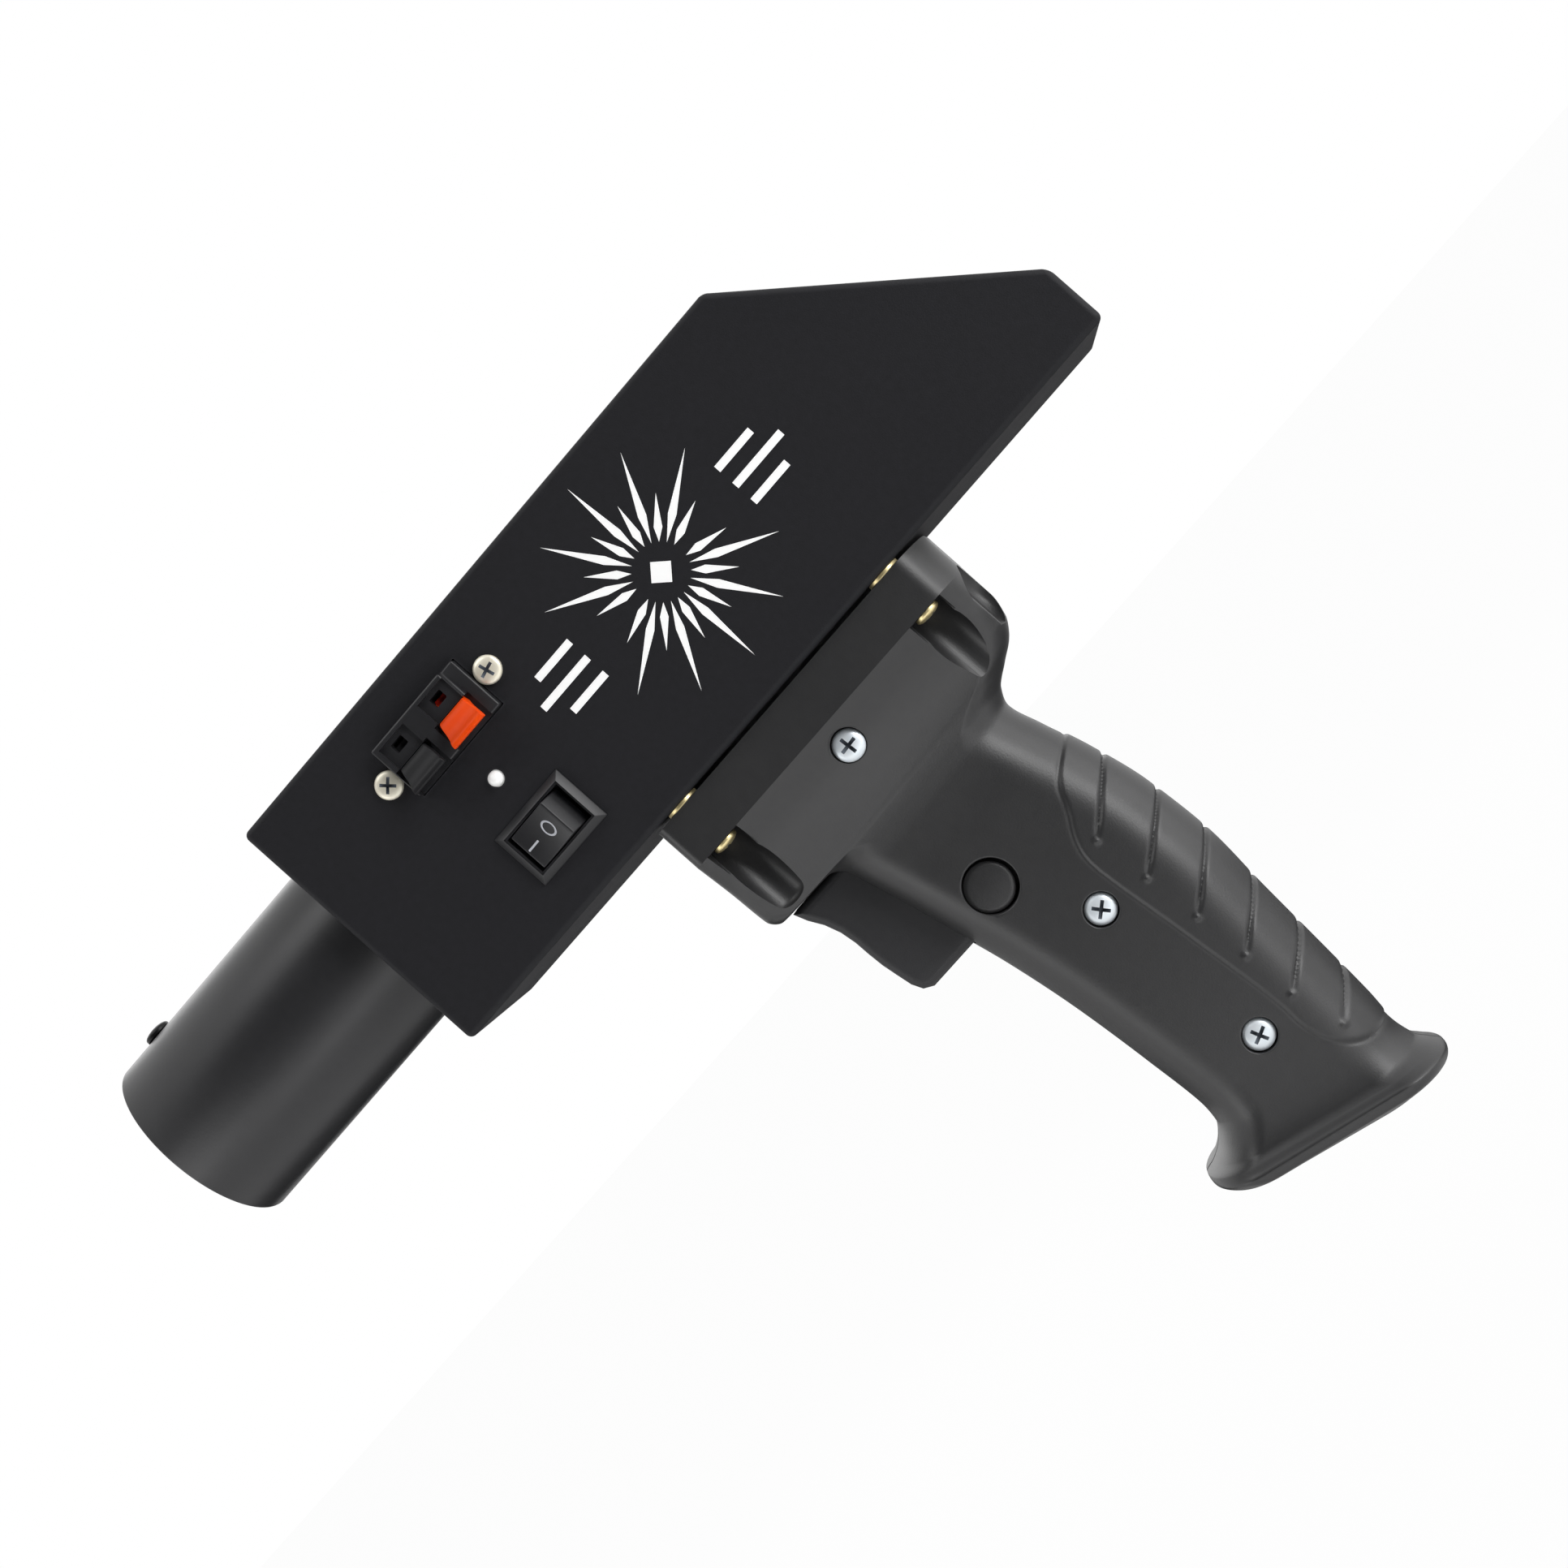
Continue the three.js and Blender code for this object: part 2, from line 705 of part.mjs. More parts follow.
function cartridgeSleeve() {
  const outer = barrelRadius - barrelWall - runGap;
  const bore = sleeveBore / 2;
  const waist = bore + sleeveWaistWall;
  const mouth = sleeveMouthInset - barrelReach;
  const profile = [
    [0, 0],
    [bore, 0],
    [bore, mouth + sleeveChamfer],
    [bore + sleeveChamfer, mouth],
    [outer, mouth],
    [outer, mouth + sleeveRingLength],
    [waist, mouth + sleeveRingLength],
    [waist, sleeveSeatThickness - sleeveRingLength / 2],
    [outer, sleeveSeatThickness - sleeveRingLength / 2],
    [outer, sleeveSeatThickness],
    [0, sleeveSeatThickness],
  ];
  const body = turned(profile, 'x', [0, 0, 0], boreFacets);
  const hole = rod(
    sleeveScrewRadius + fitGap,
    'z',
    [sleeveScrewInset - barrelReach, 0, 0],
    bore - overrun,
    barrelRadius,
  );
  return cutBy(body, [hole]);
}

add('body_shell', bodyShell(), blackPowderCoat);
add('side_cover', sideCover(), blackPowderCoat);
coverTabs.forEach((tab) => {
  const [x, z] = tabHole(tab);
  const screw = countersunkScrew(coverScrewRadius, coverScrewLength, coverScrewHeadRadius, sheetThickness);
  add(`cover_screw_${tab.name}`, screw, blackScrew, [x, coverFace - seatGap, z]);
});
add('barrel_tube', barrelTube(), blackBarrel);
flangeScrewPlaces.forEach(([y, z], i) => {
  const screw = countersunkScrew(coverScrewRadius, coverScrewLength, coverScrewHeadRadius, sheetThickness);
  add(`barrel_flange_screw_${i + 1}`, screw, blackScrew, [seatGap, y, z], [0, 0, quarterTurn]);
});
add('cartridge_sleeve', cartridgeSleeve(), aluminium);
const sleeveScrewLength = barrelRadius - sleeveBore / 2 - fitGap;
add(
  'sleeve_screw',
  domedScrew(sleeveScrewRadius, sleeveScrewLength, sleeveScrewHeadRadius, sleeveScrewHeadHeight),
  blackScrew,
  [sleeveScrewInset - barrelReach, 0, barrelRadius + seatGap],
  [quarterTurn, 0, 0],
);

// Push terminal. Heights above the panel are proud; places across it are measured from the
// terminal's centre line.
const proud = (height) => controlFace - height;
const across = (place) => terminalZ + place;
const panelBack = -sheetThickness - seatGap;
const leverXs = {
  black: controlsX - terminalOffset - terminalPitch / 2,
  red: controlsX - terminalOffset + terminalPitch / 2,
};

function terminalBase() {
  const half = terminalLength / 2;
  const wide = terminalWidth / 2;
  const faceHeight = terminalProud;
  const earBack = panelBack - terminalEarThickness;
  const chamberHalf = leverTipWidth / 2 + runGap;
  const face = [
    [proud(earBack), across(-wide)],
    [proud(faceHeight), across(-wide)],
    [proud(faceHeight), across(wide - terminalWall)],
    [proud(faceHeight - terminalWall), across(wide)],
    [proud(earBack), across(wide)],
  ];
  const front = frontPrism(polygon(face), controlsX - half, controlsX + half);
  const step = block(
    [controlsX + half - terminalStepLength, proud(faceHeight + overrun), across(-wide - overrun)],
    [controlsX + half + overrun, proud(faceHeight - terminalStepDrop), across(wide + overrun)],
  );
  const ears = block(
    [controlsX - terminalEarLength / 2, proud(panelBack), across(-wide)],
    [controlsX + terminalEarLength / 2, proud(earBack), across(wide)],
  );
  const chamber = block(
    [leverXs.black - leverWidth / 2 - terminalWall, proud(earBack), across(-wide + terminalWall)],
    [leverXs.red + leverWidth / 2 + terminalWall, proud(-terminalDepth), across(wide - terminalWall)],
  );
  const cuts = Object.values(leverXs).flatMap((x) => [
    // The clamp chamber behind the window
    block(
      [x - leverWidth / 2, proud(faceHeight - terminalWall), across(-wide + terminalWall)],
      [x + leverWidth / 2, proud(terminalWall - terminalDepth), across(wide - terminalWall)],
    ),
    // The seat in which the lever swings
    block(
      [x - chamberHalf, proud(faceHeight + overrun), across(-wide - overrun)],
      [x + chamberHalf, proud(terminalWall), across(leverPivotHeight + leverPivotRadius + runGap)],
    ),
    // The wire hole
    block(
      [x - wireHoleWidth / 2, proud(faceHeight + overrun), across(wireHoleCentre - wireHoleHeight / 2)],
      [x + wireHoleWidth / 2, proud(terminalWall), across(wireHoleCentre + wireHoleHeight / 2)],
    ),
    // The slot for the contact's tail
    block(
      [x - contactWidth / 2 - fitGap, proud(-terminalDepth + overrun), across(-wireHoleHeight - fitGap)],
      [
        x + contactWidth / 2 + fitGap,
        proud(-terminalDepth - overrun),
        across(-wireHoleHeight + contactThickness + fitGap),
      ],
    ),
  ]);
  const screwHoles = terminalScrewXs.map((x) =>
    rod(terminalScrewRadius + fitGap, 'y', [x, 0, terminalZ], controlFace, controlFace + 2 * overrun),
  );
  return cutBy(joined([front.subtract(step), ears, chamber]), [...cuts, ...screwHoles]);
}

function terminalLever(x) {
  const pivot = leverPivotHeight;
  const low = -terminalWidth / 2 + runGap;
  const outerProud = leverPivotProud + 2 * leverPivotRadius;
  const tongueBack = leverPivotProud - leverPivotRadius - leverTongueThickness;
  const side = [
    [proud(outerProud), across(pivot + leverPivotRadius)],
    [proud(leverProud), across(low + leverPivotRadius)],
    [proud(leverProud - leverTongueThickness / 2), across(low)],
    [proud(leverProud - 2 * leverTongueThickness), across(low)],
    [proud(leverPivotProud), across(pivot - leverPivotRadius)],
    [proud(tongueBack), across(pivot)],
    [proud(tongueBack), across(pivot + leverTongueHeight)],
    [proud(tongueBack + leverTongueThickness), across(pivot + leverTongueHeight)],
    [proud(leverPivotProud), across(pivot + leverPivotRadius)],
  ];
  const swept = frontPrism(polygon(side.reverse()), x - leverTipWidth / 2, x + leverTipWidth / 2);
  const top = leverWidth / 2 - 2 * fitGap;
  const view = [
    [x - leverTipWidth / 2, across(low - overrun)],
    [x + leverTipWidth / 2, across(low - overrun)],
    [x + leverTipWidth / 2, across(low)],
    [x + top, across(pivot)],
    [x + top, across(terminalWidth)],
    [x - top, across(terminalWidth)],
    [x - top, across(pivot)],
    [x - leverTipWidth / 2, across(low)],
  ];
  const trim = sidePrism(polygon(view), proud(leverProud + overrun), proud(-terminalDepth));
  return swept.intersect(trim);
}

function terminalContact(x) {
  const back = terminalWall - terminalDepth + fitGap;
  const level = -wireHoleHeight;
  const side = [
    [proud(-terminalDepth - contactTail), across(level)],
    [proud(back + contactThickness), across(level)],
    [proud(back + contactThickness), across(wireHoleCentre)],
    [proud(-contactTopSink), across(wireHoleCentre - contactThickness)],
    [proud(-contactTopSink), across(wireHoleCentre)],
    [proud(back), across(wireHoleCentre + contactThickness)],
    [proud(back), across(level + contactThickness)],
    [proud(-terminalDepth - contactTail), across(level + contactThickness)],
  ];
  return frontPrism(polygon(side), x - contactWidth / 2, x + contactWidth / 2);
}

add('terminal_base', terminalBase(), blackPlastic);
add('red_lever', terminalLever(leverXs.red), redPlastic);
add('black_lever', terminalLever(leverXs.black), blackPlastic);
add('red_contact', terminalContact(leverXs.red), nickel);
add('black_contact', terminalContact(leverXs.black), nickel);
const terminalScrewLength =
  sheetThickness + terminalEarThickness + terminalNutHeight + 3 * seatGap + terminalScrewRadius;
terminalScrewXs.forEach((x, i) => {
  const end = ['front', 'rear'][i];
  const screw = domedScrew(
    terminalScrewRadius,
    terminalScrewLength,
    terminalScrewHeadRadius,
    terminalScrewHeadHeight,
    terminalScrewHeadHeight / 2,
    gripScrewSlotWidth,
  );
  add(`terminal_screw_${end}`, screw, nickel, [x, controlFace - seatGap, terminalZ], [0, 0, Math.PI]);
  const nut = new THREE.ExtrudeGeometry(hexagon(terminalNutFlats, terminalScrewRadius + fitGap / 2), {
    depth: terminalNutHeight,
    bevelEnabled: false,
    curveSegments: screwFacets / 2,
  });
  const nutY = proud(panelBack - terminalEarThickness - seatGap) + terminalNutHeight;
  add(`terminal_nut_${end}`, nut, nickel, [x, nutY, terminalZ], [quarterTurn, 0, Math.PI / 6]);
});

// Indicator lamp: dome, body, rim behind the panel and two legs
function indicatorLed() {
  const radius = ledDiameter / 2;
  const rimTop = -sheetThickness - seatGap;
  const domeShares = [[0.98, 0.2], [0.86, 0.6], [0.5, 0.92]];
  const profile = [
    [0, rimTop - ledBodyLength],
    [radius + ledRimWidth, rimTop - ledBodyLength],
    [radius + ledRimWidth, rimTop],
    [radius, rimTop],
    [radius, 0],
    ...domeShares.map(([r, h]) => [radius * r, radius * h]),
    [0, radius],
  ];
  const centre = [controlsX, controlFace, ledZ];
  const lens = turned(profile.map(([r, place]) => [r, -place]), 'y', centre, screwFacets);
  const legHalf = ledLegThickness / 2;
  const legStart = controlFace - rimTop + ledBodyLength;
  const legs = [-1, 1].map((side) => {
    const x = controlsX + (side * ledLegPitch) / 2;
    return block(
      [x - legHalf, legStart - ledLegThickness, ledZ - legHalf],
      [x + legHalf, legStart + ledLegLength, ledZ + legHalf],
    );
  });
  return joined([lens, ...legs]);
}

// Rocker switch
const rockerPivotY = controlFace + rockerPivotSink;

function switchHousing() {
  const bezelOutline = (inset) =>
    rectangle(
      controlsX - switchBezelLength / 2 + inset,
      controlsX + switchBezelLength / 2 - inset,
      switchZ - switchBezelWidth / 2 + inset,
      switchZ + switchBezelWidth / 2 - inset,
    );
  const bezel = sidePrism(
    bezelOutline(0),
    controlFace - seatGap - switchBezelProud,
    controlFace - seatGap + switchBezelSlope,
    switchBezelSlope,
  );
  const behind = block(
    [controlsX - switchBezelLength, controlFace - seatGap, switchZ - switchBezelWidth],
    [controlsX + switchBezelLength, controlFace + overrun, switchZ + switchBezelWidth],
  );
  const body = block(
    [controlsX - switchBodyLength / 2, controlFace - switchBezelProud / 2, switchZ - switchBodyWidth / 2],
    [controlsX + switchBodyLength / 2, controlFace + switchBodyDepth, switchZ + switchBodyWidth / 2],
  );
  const well = block(
    [controlsX - switchWellLength / 2, controlFace - overrun, switchZ - switchWellWidth / 2],
    [
      controlsX + switchWellLength / 2,
      controlFace + switchBodyDepth - switchFloor,
      switchZ + switchWellWidth / 2,
    ],
  );
  const pivotHole = rod(
    rockerPivotRadius + runGap,
    'z',
    [controlsX, rockerPivotY, switchZ],
    -switchBodyWidth,
    switchBodyWidth,
  );
  const tabSlots = switchTabXs.map((x) =>
    block(
      [
        x - switchTabThickness / 2 - fitGap,
        controlFace + switchBodyDepth - 2 * switchFloor,
        switchZ - switchTabWidth / 2 - fitGap,
      ],
      [
        x + switchTabThickness / 2 + fitGap,
        controlFace + switchBodyDepth + overrun,
        switchZ + switchTabWidth / 2 + fitGap,
      ],
    ),
  );
  return cutBy(joined([bezel.subtract(behind), body]), [well, pivotHole, ...tabSlots]);
}

const switchTabXs = [-1, 1].map((side) => controlsX + (side * switchTabPitch) / 2);

// The rocker is drawn level, facing -Y, then tipped so that its front end is pressed in.
function rocker() {
  const face = rockerFaceLength / 2;
  const shoulder = rockerShoulderLength / 2;
  const sole = rockerPivotRadius + runGap;
  const shape = new THREE.Shape();
  shape.moveTo(-face, rockerFaceHeight);
  shape.quadraticCurveTo(0, rockerFaceHeight - 2 * rockerDish, face, rockerFaceHeight);
  shape.lineTo(shoulder, rockerShoulderHeight);
  shape.lineTo(sole, -sole);
  shape.lineTo(-sole, -sole);
  shape.lineTo(-shoulder, rockerShoulderHeight);
  shape.closePath();
  const body = new THREE.ExtrudeGeometry(shape, {
    depth: rockerWidth,
    bevelEnabled: false,
    curveSegments: cornerSteps,
  });
  body.translate(0, 0, -rockerWidth / 2);
  const pin = rod(
    rockerPivotRadius,
    'z',
    [0, 0, 0],
    -switchBodyWidth / 2 + fitGap,
    switchBodyWidth / 2 - fitGap,
  );
  return joined([solid(body), pin]);
}

add('indicator_led', indicatorLed(), whiteLens);
add('switch_housing', switchHousing(), blackPlastic);
add(
  'rocker',
  rocker(),
  blackPlastic,
  [controlsX, rockerPivotY, switchZ],
  [Math.PI, 0, THREE.MathUtils.degToRad(rockerTiltDegrees)],
);
switchTabXs.forEach((x, i) => {
  const start = controlFace + switchBodyDepth - switchFloor + seatGap;
  const tab = block(
    [x - switchTabThickness / 2, start, switchZ - switchTabWidth / 2],
    [x + switchTabThickness / 2, start + switchTabLength, switchZ + switchTabWidth / 2],
  );
  add(`switch_tab_${['front', 'rear'][i]}`, tab, brass);
});

// Grip cross-sections from the flange to the heel. Each row gives the front edge's run and
// drop, the rear edge's run and drop, how much of the head's width and of the butt's flare
// the section has, and how far its corners have turned into the round handle. Runs are shares
// of the head's length and drops are shares of the grip's height.
const gripSectionShares = [
  [0.0, 0.132, 1.0, 0.12, 0.68, 0, 0.05],
  [0.005, 0.186, 0.984, 0.157, 0.42, 0, 0.15],
  [0.029, 0.2045, 0.949, 0.18, 0.3, 0, 0.3],
  [0.169, 0.2105, 0.887, 0.2, 0.18, 0, 0.8],
  [0.197, 0.228, 0.835, 0.2175, 0.1, 0, 1],
  [0.211, 0.258, 0.812, 0.242, 0.03, 0, 1],
  [0.236, 0.3125, 0.833, 0.2885, 0, 0, 1],
  [0.271, 0.397, 0.87, 0.3605, 0, 0, 1],
  [0.302, 0.475, 0.902, 0.451, 0, 0, 1],
  [0.334, 0.589, 0.9125, 0.553, 0, 0, 1],
  [0.3535, 0.703, 0.897, 0.661, 0, 0, 1],
  [0.364, 0.793, 0.881, 0.787, 0, 0.03, 1],
  [0.356, 0.826, 0.8705, 0.862, 0, 0.14, 1],
  [0.321, 0.849, 0.861, 0.9075, 0, 0.36, 1],
  [0.272, 0.863, 0.866, 0.9435, 0, 0.66, 1],
  [0.2355, 0.875, 0.882, 0.971, 0, 0.95, 1],
  [0.2287, 0.8906, 0.894, 0.989, 0, 1, 1],
  [0.245, 0.9075, 0.882, 1.001, 0, 0.9, 1],
  [0.292, 0.923, 0.823, 1.0054, 0, 0.55, 1],
];
const sideRoundShare = 0.96;
const wallFloorSections = 2;

function gripSection(frontX, frontZ, rearX, rearZ, half, round) {
  const sideRound = half * sideRoundShare;
  const blend = THREE.MathUtils.lerp;
  return {
    front: new THREE.Vector2(frontX, frontZ),
    rear: new THREE.Vector2(rearX, rearZ),
    half,
    frontRound: [
      blend(headFrontRadius, handleFrontRound, round),
      blend(headFrontRadius, sideRound, round),
    ],
    rearRound: [
      blend(headRearRunRound, handleRearRound, round),
      blend(headRearSideRound, sideRound, round),
    ],
  };
}

function gripSections() {
  const rearX = along(headLength);
  const strip = [gripTop, below(flangeDepth)].map((z) => gripSection(gripFront, z, rearX, z, headHalf, 0));
  const lofted = gripSectionShares.map(([fRun, fDrop, rRun, rDrop, head, butt, round]) => {
    const half = handleHalf + (headHalf - handleHalf) * head + (buttWidth / 2 - handleHalf) * butt;
    return gripSection(
      along(fRun * headLength),
      below(fDrop * gripHeight),
      along(rRun * headLength),
      below(rDrop * gripHeight),
      half,
      round,
    );
  });
  return [...strip, ...lofted];
}

// Moves a chain of points sideways, to the left of its direction for a positive distance.
function sideways(points, distance) {
  return points.map((point, i) => {
    const before = points[Math.max(i - 1, 0)];
    const after = points[Math.min(i + 1, points.length - 1)];
    const steps = [point.clone().sub(before), after.clone().sub(point)].filter((step) => step.length() > 0);
    const normals = steps.map((step) => new THREE.Vector2(-step.y, step.x).normalize());
    const middle = normals.reduce((sum, n) => sum.add(n), new THREE.Vector2()).normalize();
    return point.clone().addScaledVector(middle, distance / middle.dot(normals[0].normalize()));
  });
}

function insetSections(sections, wall) {
  const fronts = sideways(sections.map((s) => s.front), wall);
  const rears = sideways(sections.map((s) => s.rear), -wall);
  const smaller = ([run, side]) => [Math.max(run - wall, wall / 2), Math.max(side - wall, wall / 2)];
  return sections.map((section, i) => ({
    front: fronts[i],
    rear: rears[i],
    half: section.half - wall,
    frontRound: smaller(section.frontRound),
    rearRound: smaller(section.rearRound),
  }));
}

// The closed ring of one cross-section, its four corners as quarter ellipses.
function sectionRing(section) {
  const chord = section.rear.clone().sub(section.front);
  const depth = chord.length();
  chord.normalize();
  const corners = [
    { round: section.frontRound, run: section.frontRound[0], side: -1, start: Math.PI },
    { round: section.rearRound, run: depth - section.rearRound[0], side: -1, start: 1.5 * Math.PI },
    { round: section.rearRound, run: depth - section.rearRound[0], side: 1, start: 0 },
    { round: section.frontRound, run: section.frontRound[0], side: 1, start: Math.PI / 2 },
  ];
  return corners.flatMap(({ round, run, side, start }) => {
    const points = [];
    for (let i = 0; i <= cornerSteps; i += 1) {
      const angle = start + (i / cornerSteps) * (Math.PI / 2);
      const u = run + round[0] * Math.cos(angle);
      const v = side * (section.half - round[1]) + round[1] * Math.sin(angle);
      points.push(new THREE.Vector3(section.front.x + chord.x * u, v, section.front.y + chord.y * u));
    }
    return points;
  });
}

// Joins the rings of successive cross-sections and closes both ends.
function loft(sections) {
  const rings = sections.map(sectionRing);
  const count = rings[0].length;
  const places = rings.flat().flatMap((point) => point.toArray());
  const triangles = [];
  for (let i = 0; i + 1 < rings.length; i += 1) {
    for (let j = 0; j < count; j += 1) {
      const a = i * count + j;
      const b = i * count + ((j + 1) % count);
      triangles.push(a, a + count, b, b, a + count, b + count);
    }
  }
  const last = (rings.length - 1) * count;
  for (let j = 1; j + 1 < count; j += 1) {
    triangles.push(0, j, j + 1);
    triangles.push(last, last + j + 1, last + j);
  }
  const geometry = new THREE.BufferGeometry();
  geometry.setAttribute('position', new THREE.Float32BufferAttribute(places, 3));
  geometry.setIndex(triangles);
  return solid(geometry);
}

const outerSections = gripSections();

// The grip's front edge at a given height, from its cross-sections.
function frontEdge(z) {
  const next = outerSections.findIndex((section, i) => i > 3 && section.front.y < z);
  const low = outerSections[next].front;
  const high = outerSections[next - 1].front;
  return high.x + ((low.x - high.x) * (z - high.y)) / (low.y - high.y);
}

const gripScrews = [
  { name: 'top', run: topScrewRun, drop: topScrewDrop, outer: topScrewOuter },
  { name: 'middle', run: middleScrewRun, drop: middleScrewDrop, outer: handleHalf },
  { name: 'lower', run: lowerScrewRun, drop: lowerScrewDrop, outer: handleHalf },
];

// The trigger's place in the grip
const triggerTop = below(triggerTopDrop);
const triggerBottom = below(triggerBottomDrop);
const slotTop = triggerTop + 2 * runGap;
const slotBottom = triggerBottom - runGap;
const guideTop = triggerTop - gripWall / 2;
const guideBottom = triggerBottom + gripWall / 2;
const lockX = along(lockRun);
const lockZ = below(lockDrop);

// The two oval recesses in the grip's rear face, grown by a margin
function rearRecesses(margin, depth) {
  const rearX = along(headLength);
  return [-1, 1].map((side) => {
    const oval = new THREE.Shape();
    oval.absellipse(
      side * rearRecessPlace,
      below(rearRecessDrop),
      rearRecessHalfWidth + margin,
      rearRecessHalfHeight + margin,
      0,
      2 * Math.PI,
    );
    return frontPrism(oval, rearX - depth, rearX + overrun, cornerSteps);
  });
}

function gripHollow() {
  const hollow = insetSections(outerSections, gripWall).slice(0, outerSections.length - wallFloorSections);
  hollow[0].front.y = gripTop - gripTopPlate;
  hollow[0].rear.y = gripTop - gripTopPlate;
  const posts = mountPlaces.map(([x, y]) =>
    rod(pocketRadius + gripWall, 'z', [x, y, 0], below(pocketEndDrop + gripWall), bodyBottom, screwFacets),
  );
  return cutBy(loft(hollow), [...posts, ...rearRecesses(gripWall, rearRecessDepth + gripWall)]);
}

function grooves() {
  const skin = loft(insetSections(outerSections, -grooveDepth)).subtract(
    loft(insetSections(outerSections, grooveDepth)),
  );
  const rise = THREE.MathUtils.degToRad(grooveRiseDegrees);
  const strips = [];
  for (let i = 0; i < grooveCount; i += 1) {
    const start = new THREE.Vector2(
      along(grooveStartRun + grooveDriftRun * i),
      below(grooveStartDrop + groovePitch * i),
    );
    const reach = new THREE.Vector2(Math.cos(rise), Math.sin(rise)).multiplyScalar(grooveReach);
    const end = start.clone().add(reach);
    const half = grooveWidth / 2;
    const outline = [
      [start.x, start.y - half],
      [end.x, end.y - half],
      [end.x, end.y + half],
      [start.x, start.y + half],
    ];
    strips.push(sidePrism(polygon(outline), -buttWidth, buttWidth));
  }
  return skin.intersect(joined(strips));
}

function gripShell() {
  const outer = loft(outerSections);
  const hollow = gripHollow();
  const bosses = gripScrews.map(({ run, drop }) =>
    rod(bossRadius, 'y', [along(run), 0, below(drop)], -headHalf, headHalf),
  );
  const cradleRear = triggerSwitchFront + switchBlockLength;
  const cradle = [
    [switchBlockTopDrop - ribThickness, switchBlockTopDrop],
    [switchBlockBottomDrop, switchBlockBottomDrop + ribThickness],
  ].map(([high, low]) =>
    block(
      [triggerSwitchFront, -headHalf, below(low) - seatGap],
      [cradleRear, headHalf, below(high) + seatGap],
    ),
  );
  const stop = block(
    [cradleRear + seatGap, -headHalf, below(switchBlockBottomDrop)],
    [cradleRear + seatGap + ribThickness, headHalf, below(switchBlockTopDrop)],
  );
  const ribCore = block(
    [gripFront, ribReach - handleHalf, below(gripHeight)],
    [along(headLength), handleHalf - ribReach, bodyBottom],
  );
  const ribs = gripRibDrops.map((drop) =>
    block(
      [gripFront, -headHalf, below(drop + ribThickness)],
      [along(headLength), headHalf, below(drop)],
    ).subtract(ribCore),
  );
  const lockCup = rod(
    lockRecessRadius + lockCupWall,
    'y',
    [lockX, 0, lockZ],
    -headHalf,
    lockCupFloor - lockCupFloorY,
    boreFacets / 2,
  );
  const core = loft(insetSections(outerSections, gripWall / 2));
  const inner = [...bosses, ...cradle, stop, ...ribs, lockCup].map((piece) => piece.intersect(core));
  const filled = joined([outer.subtract(hollow), ...inner]);
  return cutBy(filled, gripCuts());
}

function gripCuts() {
  const setback = (z) => frontEdge(z) + triggerWingSetback;
  const slot = sidePrism(
    polygon([
      [gripFront - overrun, slotBottom],
      [setback(slotBottom) + runGap, slotBottom],
      [setback(slotTop) + runGap, slotTop],
      [gripFront - overrun, slotTop],
    ]),
    -triggerHalfWidth - runGap,
    triggerHalfWidth + runGap,
  );
  const guide = sidePrism(
    polygon([
      [setback(guideBottom), guideBottom - runGap],
      [triggerSwitchFront, guideBottom - runGap],
      [triggerSwitchFront, guideTop + runGap],
      [setback(guideTop), guideTop + runGap],
    ]),
    -triggerWingHalfWidth - runGap,
    triggerWingHalfWidth + runGap,
  );
  const well = sidePrism(
    polygon([
      [setback(slotBottom), slotBottom],
      [triggerSwitchFront, slotBottom],
      [triggerSwitchFront, slotTop],
      [setback(slotTop), slotTop],
    ]),
    -triggerHalfWidth - runGap,
    triggerHalfWidth + runGap,
  );
  const switchRoom = block(
    [
      triggerSwitchFront - seatGap,
      -switchBlockHalfWidth - fitGap,
      below(switchBlockBottomDrop) - seatGap / 2,
    ],
    [
      triggerSwitchFront + switchBlockLength + seatGap,
      switchBlockHalfWidth + fitGap,
      below(switchBlockTopDrop) + seatGap / 2,
    ],
  );
  const mounts = mountPlaces.flatMap(([x, y]) => [
    rod(pocketRadius, 'z', [x, y, 0], below(pocketEndDrop), below(flangeDepth)),
    block(
      [x - pocketRadius, Math.min(y, Math.sign(y) * (headHalf + overrun)), below(pocketEndDrop)],
      [x + pocketRadius, Math.max(y, Math.sign(y) * (headHalf + overrun)), below(flangeDepth)],
    ),
    rod(mountScrewRadius + fitGap, 'z', [x, y, 0], below(flangeDepth + overrun), bodyBottom),
  ]);
  const screwCuts = gripScrews.flatMap(({ run, drop, outer }) => {
    const centre = [along(run), 0, below(drop)];
    const floor = gripScrewHeadSink - outer;
    return [
      rod(gripScrewHeadRadius + gripScrewHeadGap, 'y', centre, -headHalf - overrun, floor),
      rod(gripScrewRadius + fitGap, 'y', centre, floor - overrun, gripScrewBlindDepth),
    ];
  });
  const lockCentre = [lockX, 0, lockZ];
  const cupFloorBack = lockCupFloor - lockCupFloorY + seatGap;
  return [
    slot,
    guide,
    well,
    switchRoom,
    ...rearRecesses(0, rearRecessDepth),
    rod(wireHoleDiameter / 2, 'z', [loomHoleX, 0, bodyBottom], -gripTopPlate - overrun, 0),
    rod(loomRadius + loomEndGap, 'z', [triggerLoomX, 0, below(switchBlockTopDrop)], 0, overrun),
    ...mounts,
    ...screwCuts,
    rod(lockRecessRadius, 'y', lockCentre, -headHalf - overrun, -lockCupFloorY, boreFacets / 2),
    rod(lockStemRadius + runGap, 'y', lockCentre, -lockCupFloorY - overrun, cupFloorBack),
    grooves(),
  ];
}

function gripHalf(shell, side) {
  const far = side * (headHalf + overrun);
  const near = (side * splitGap) / 2;
  const keep = block(
    [gripFront - overrun, Math.min(near, far), below(gripHeight + overrun)],
    [along(headLength) + overrun, Math.max(near, far), bodyBottom],
  );
  return shell.intersect(keep);
}

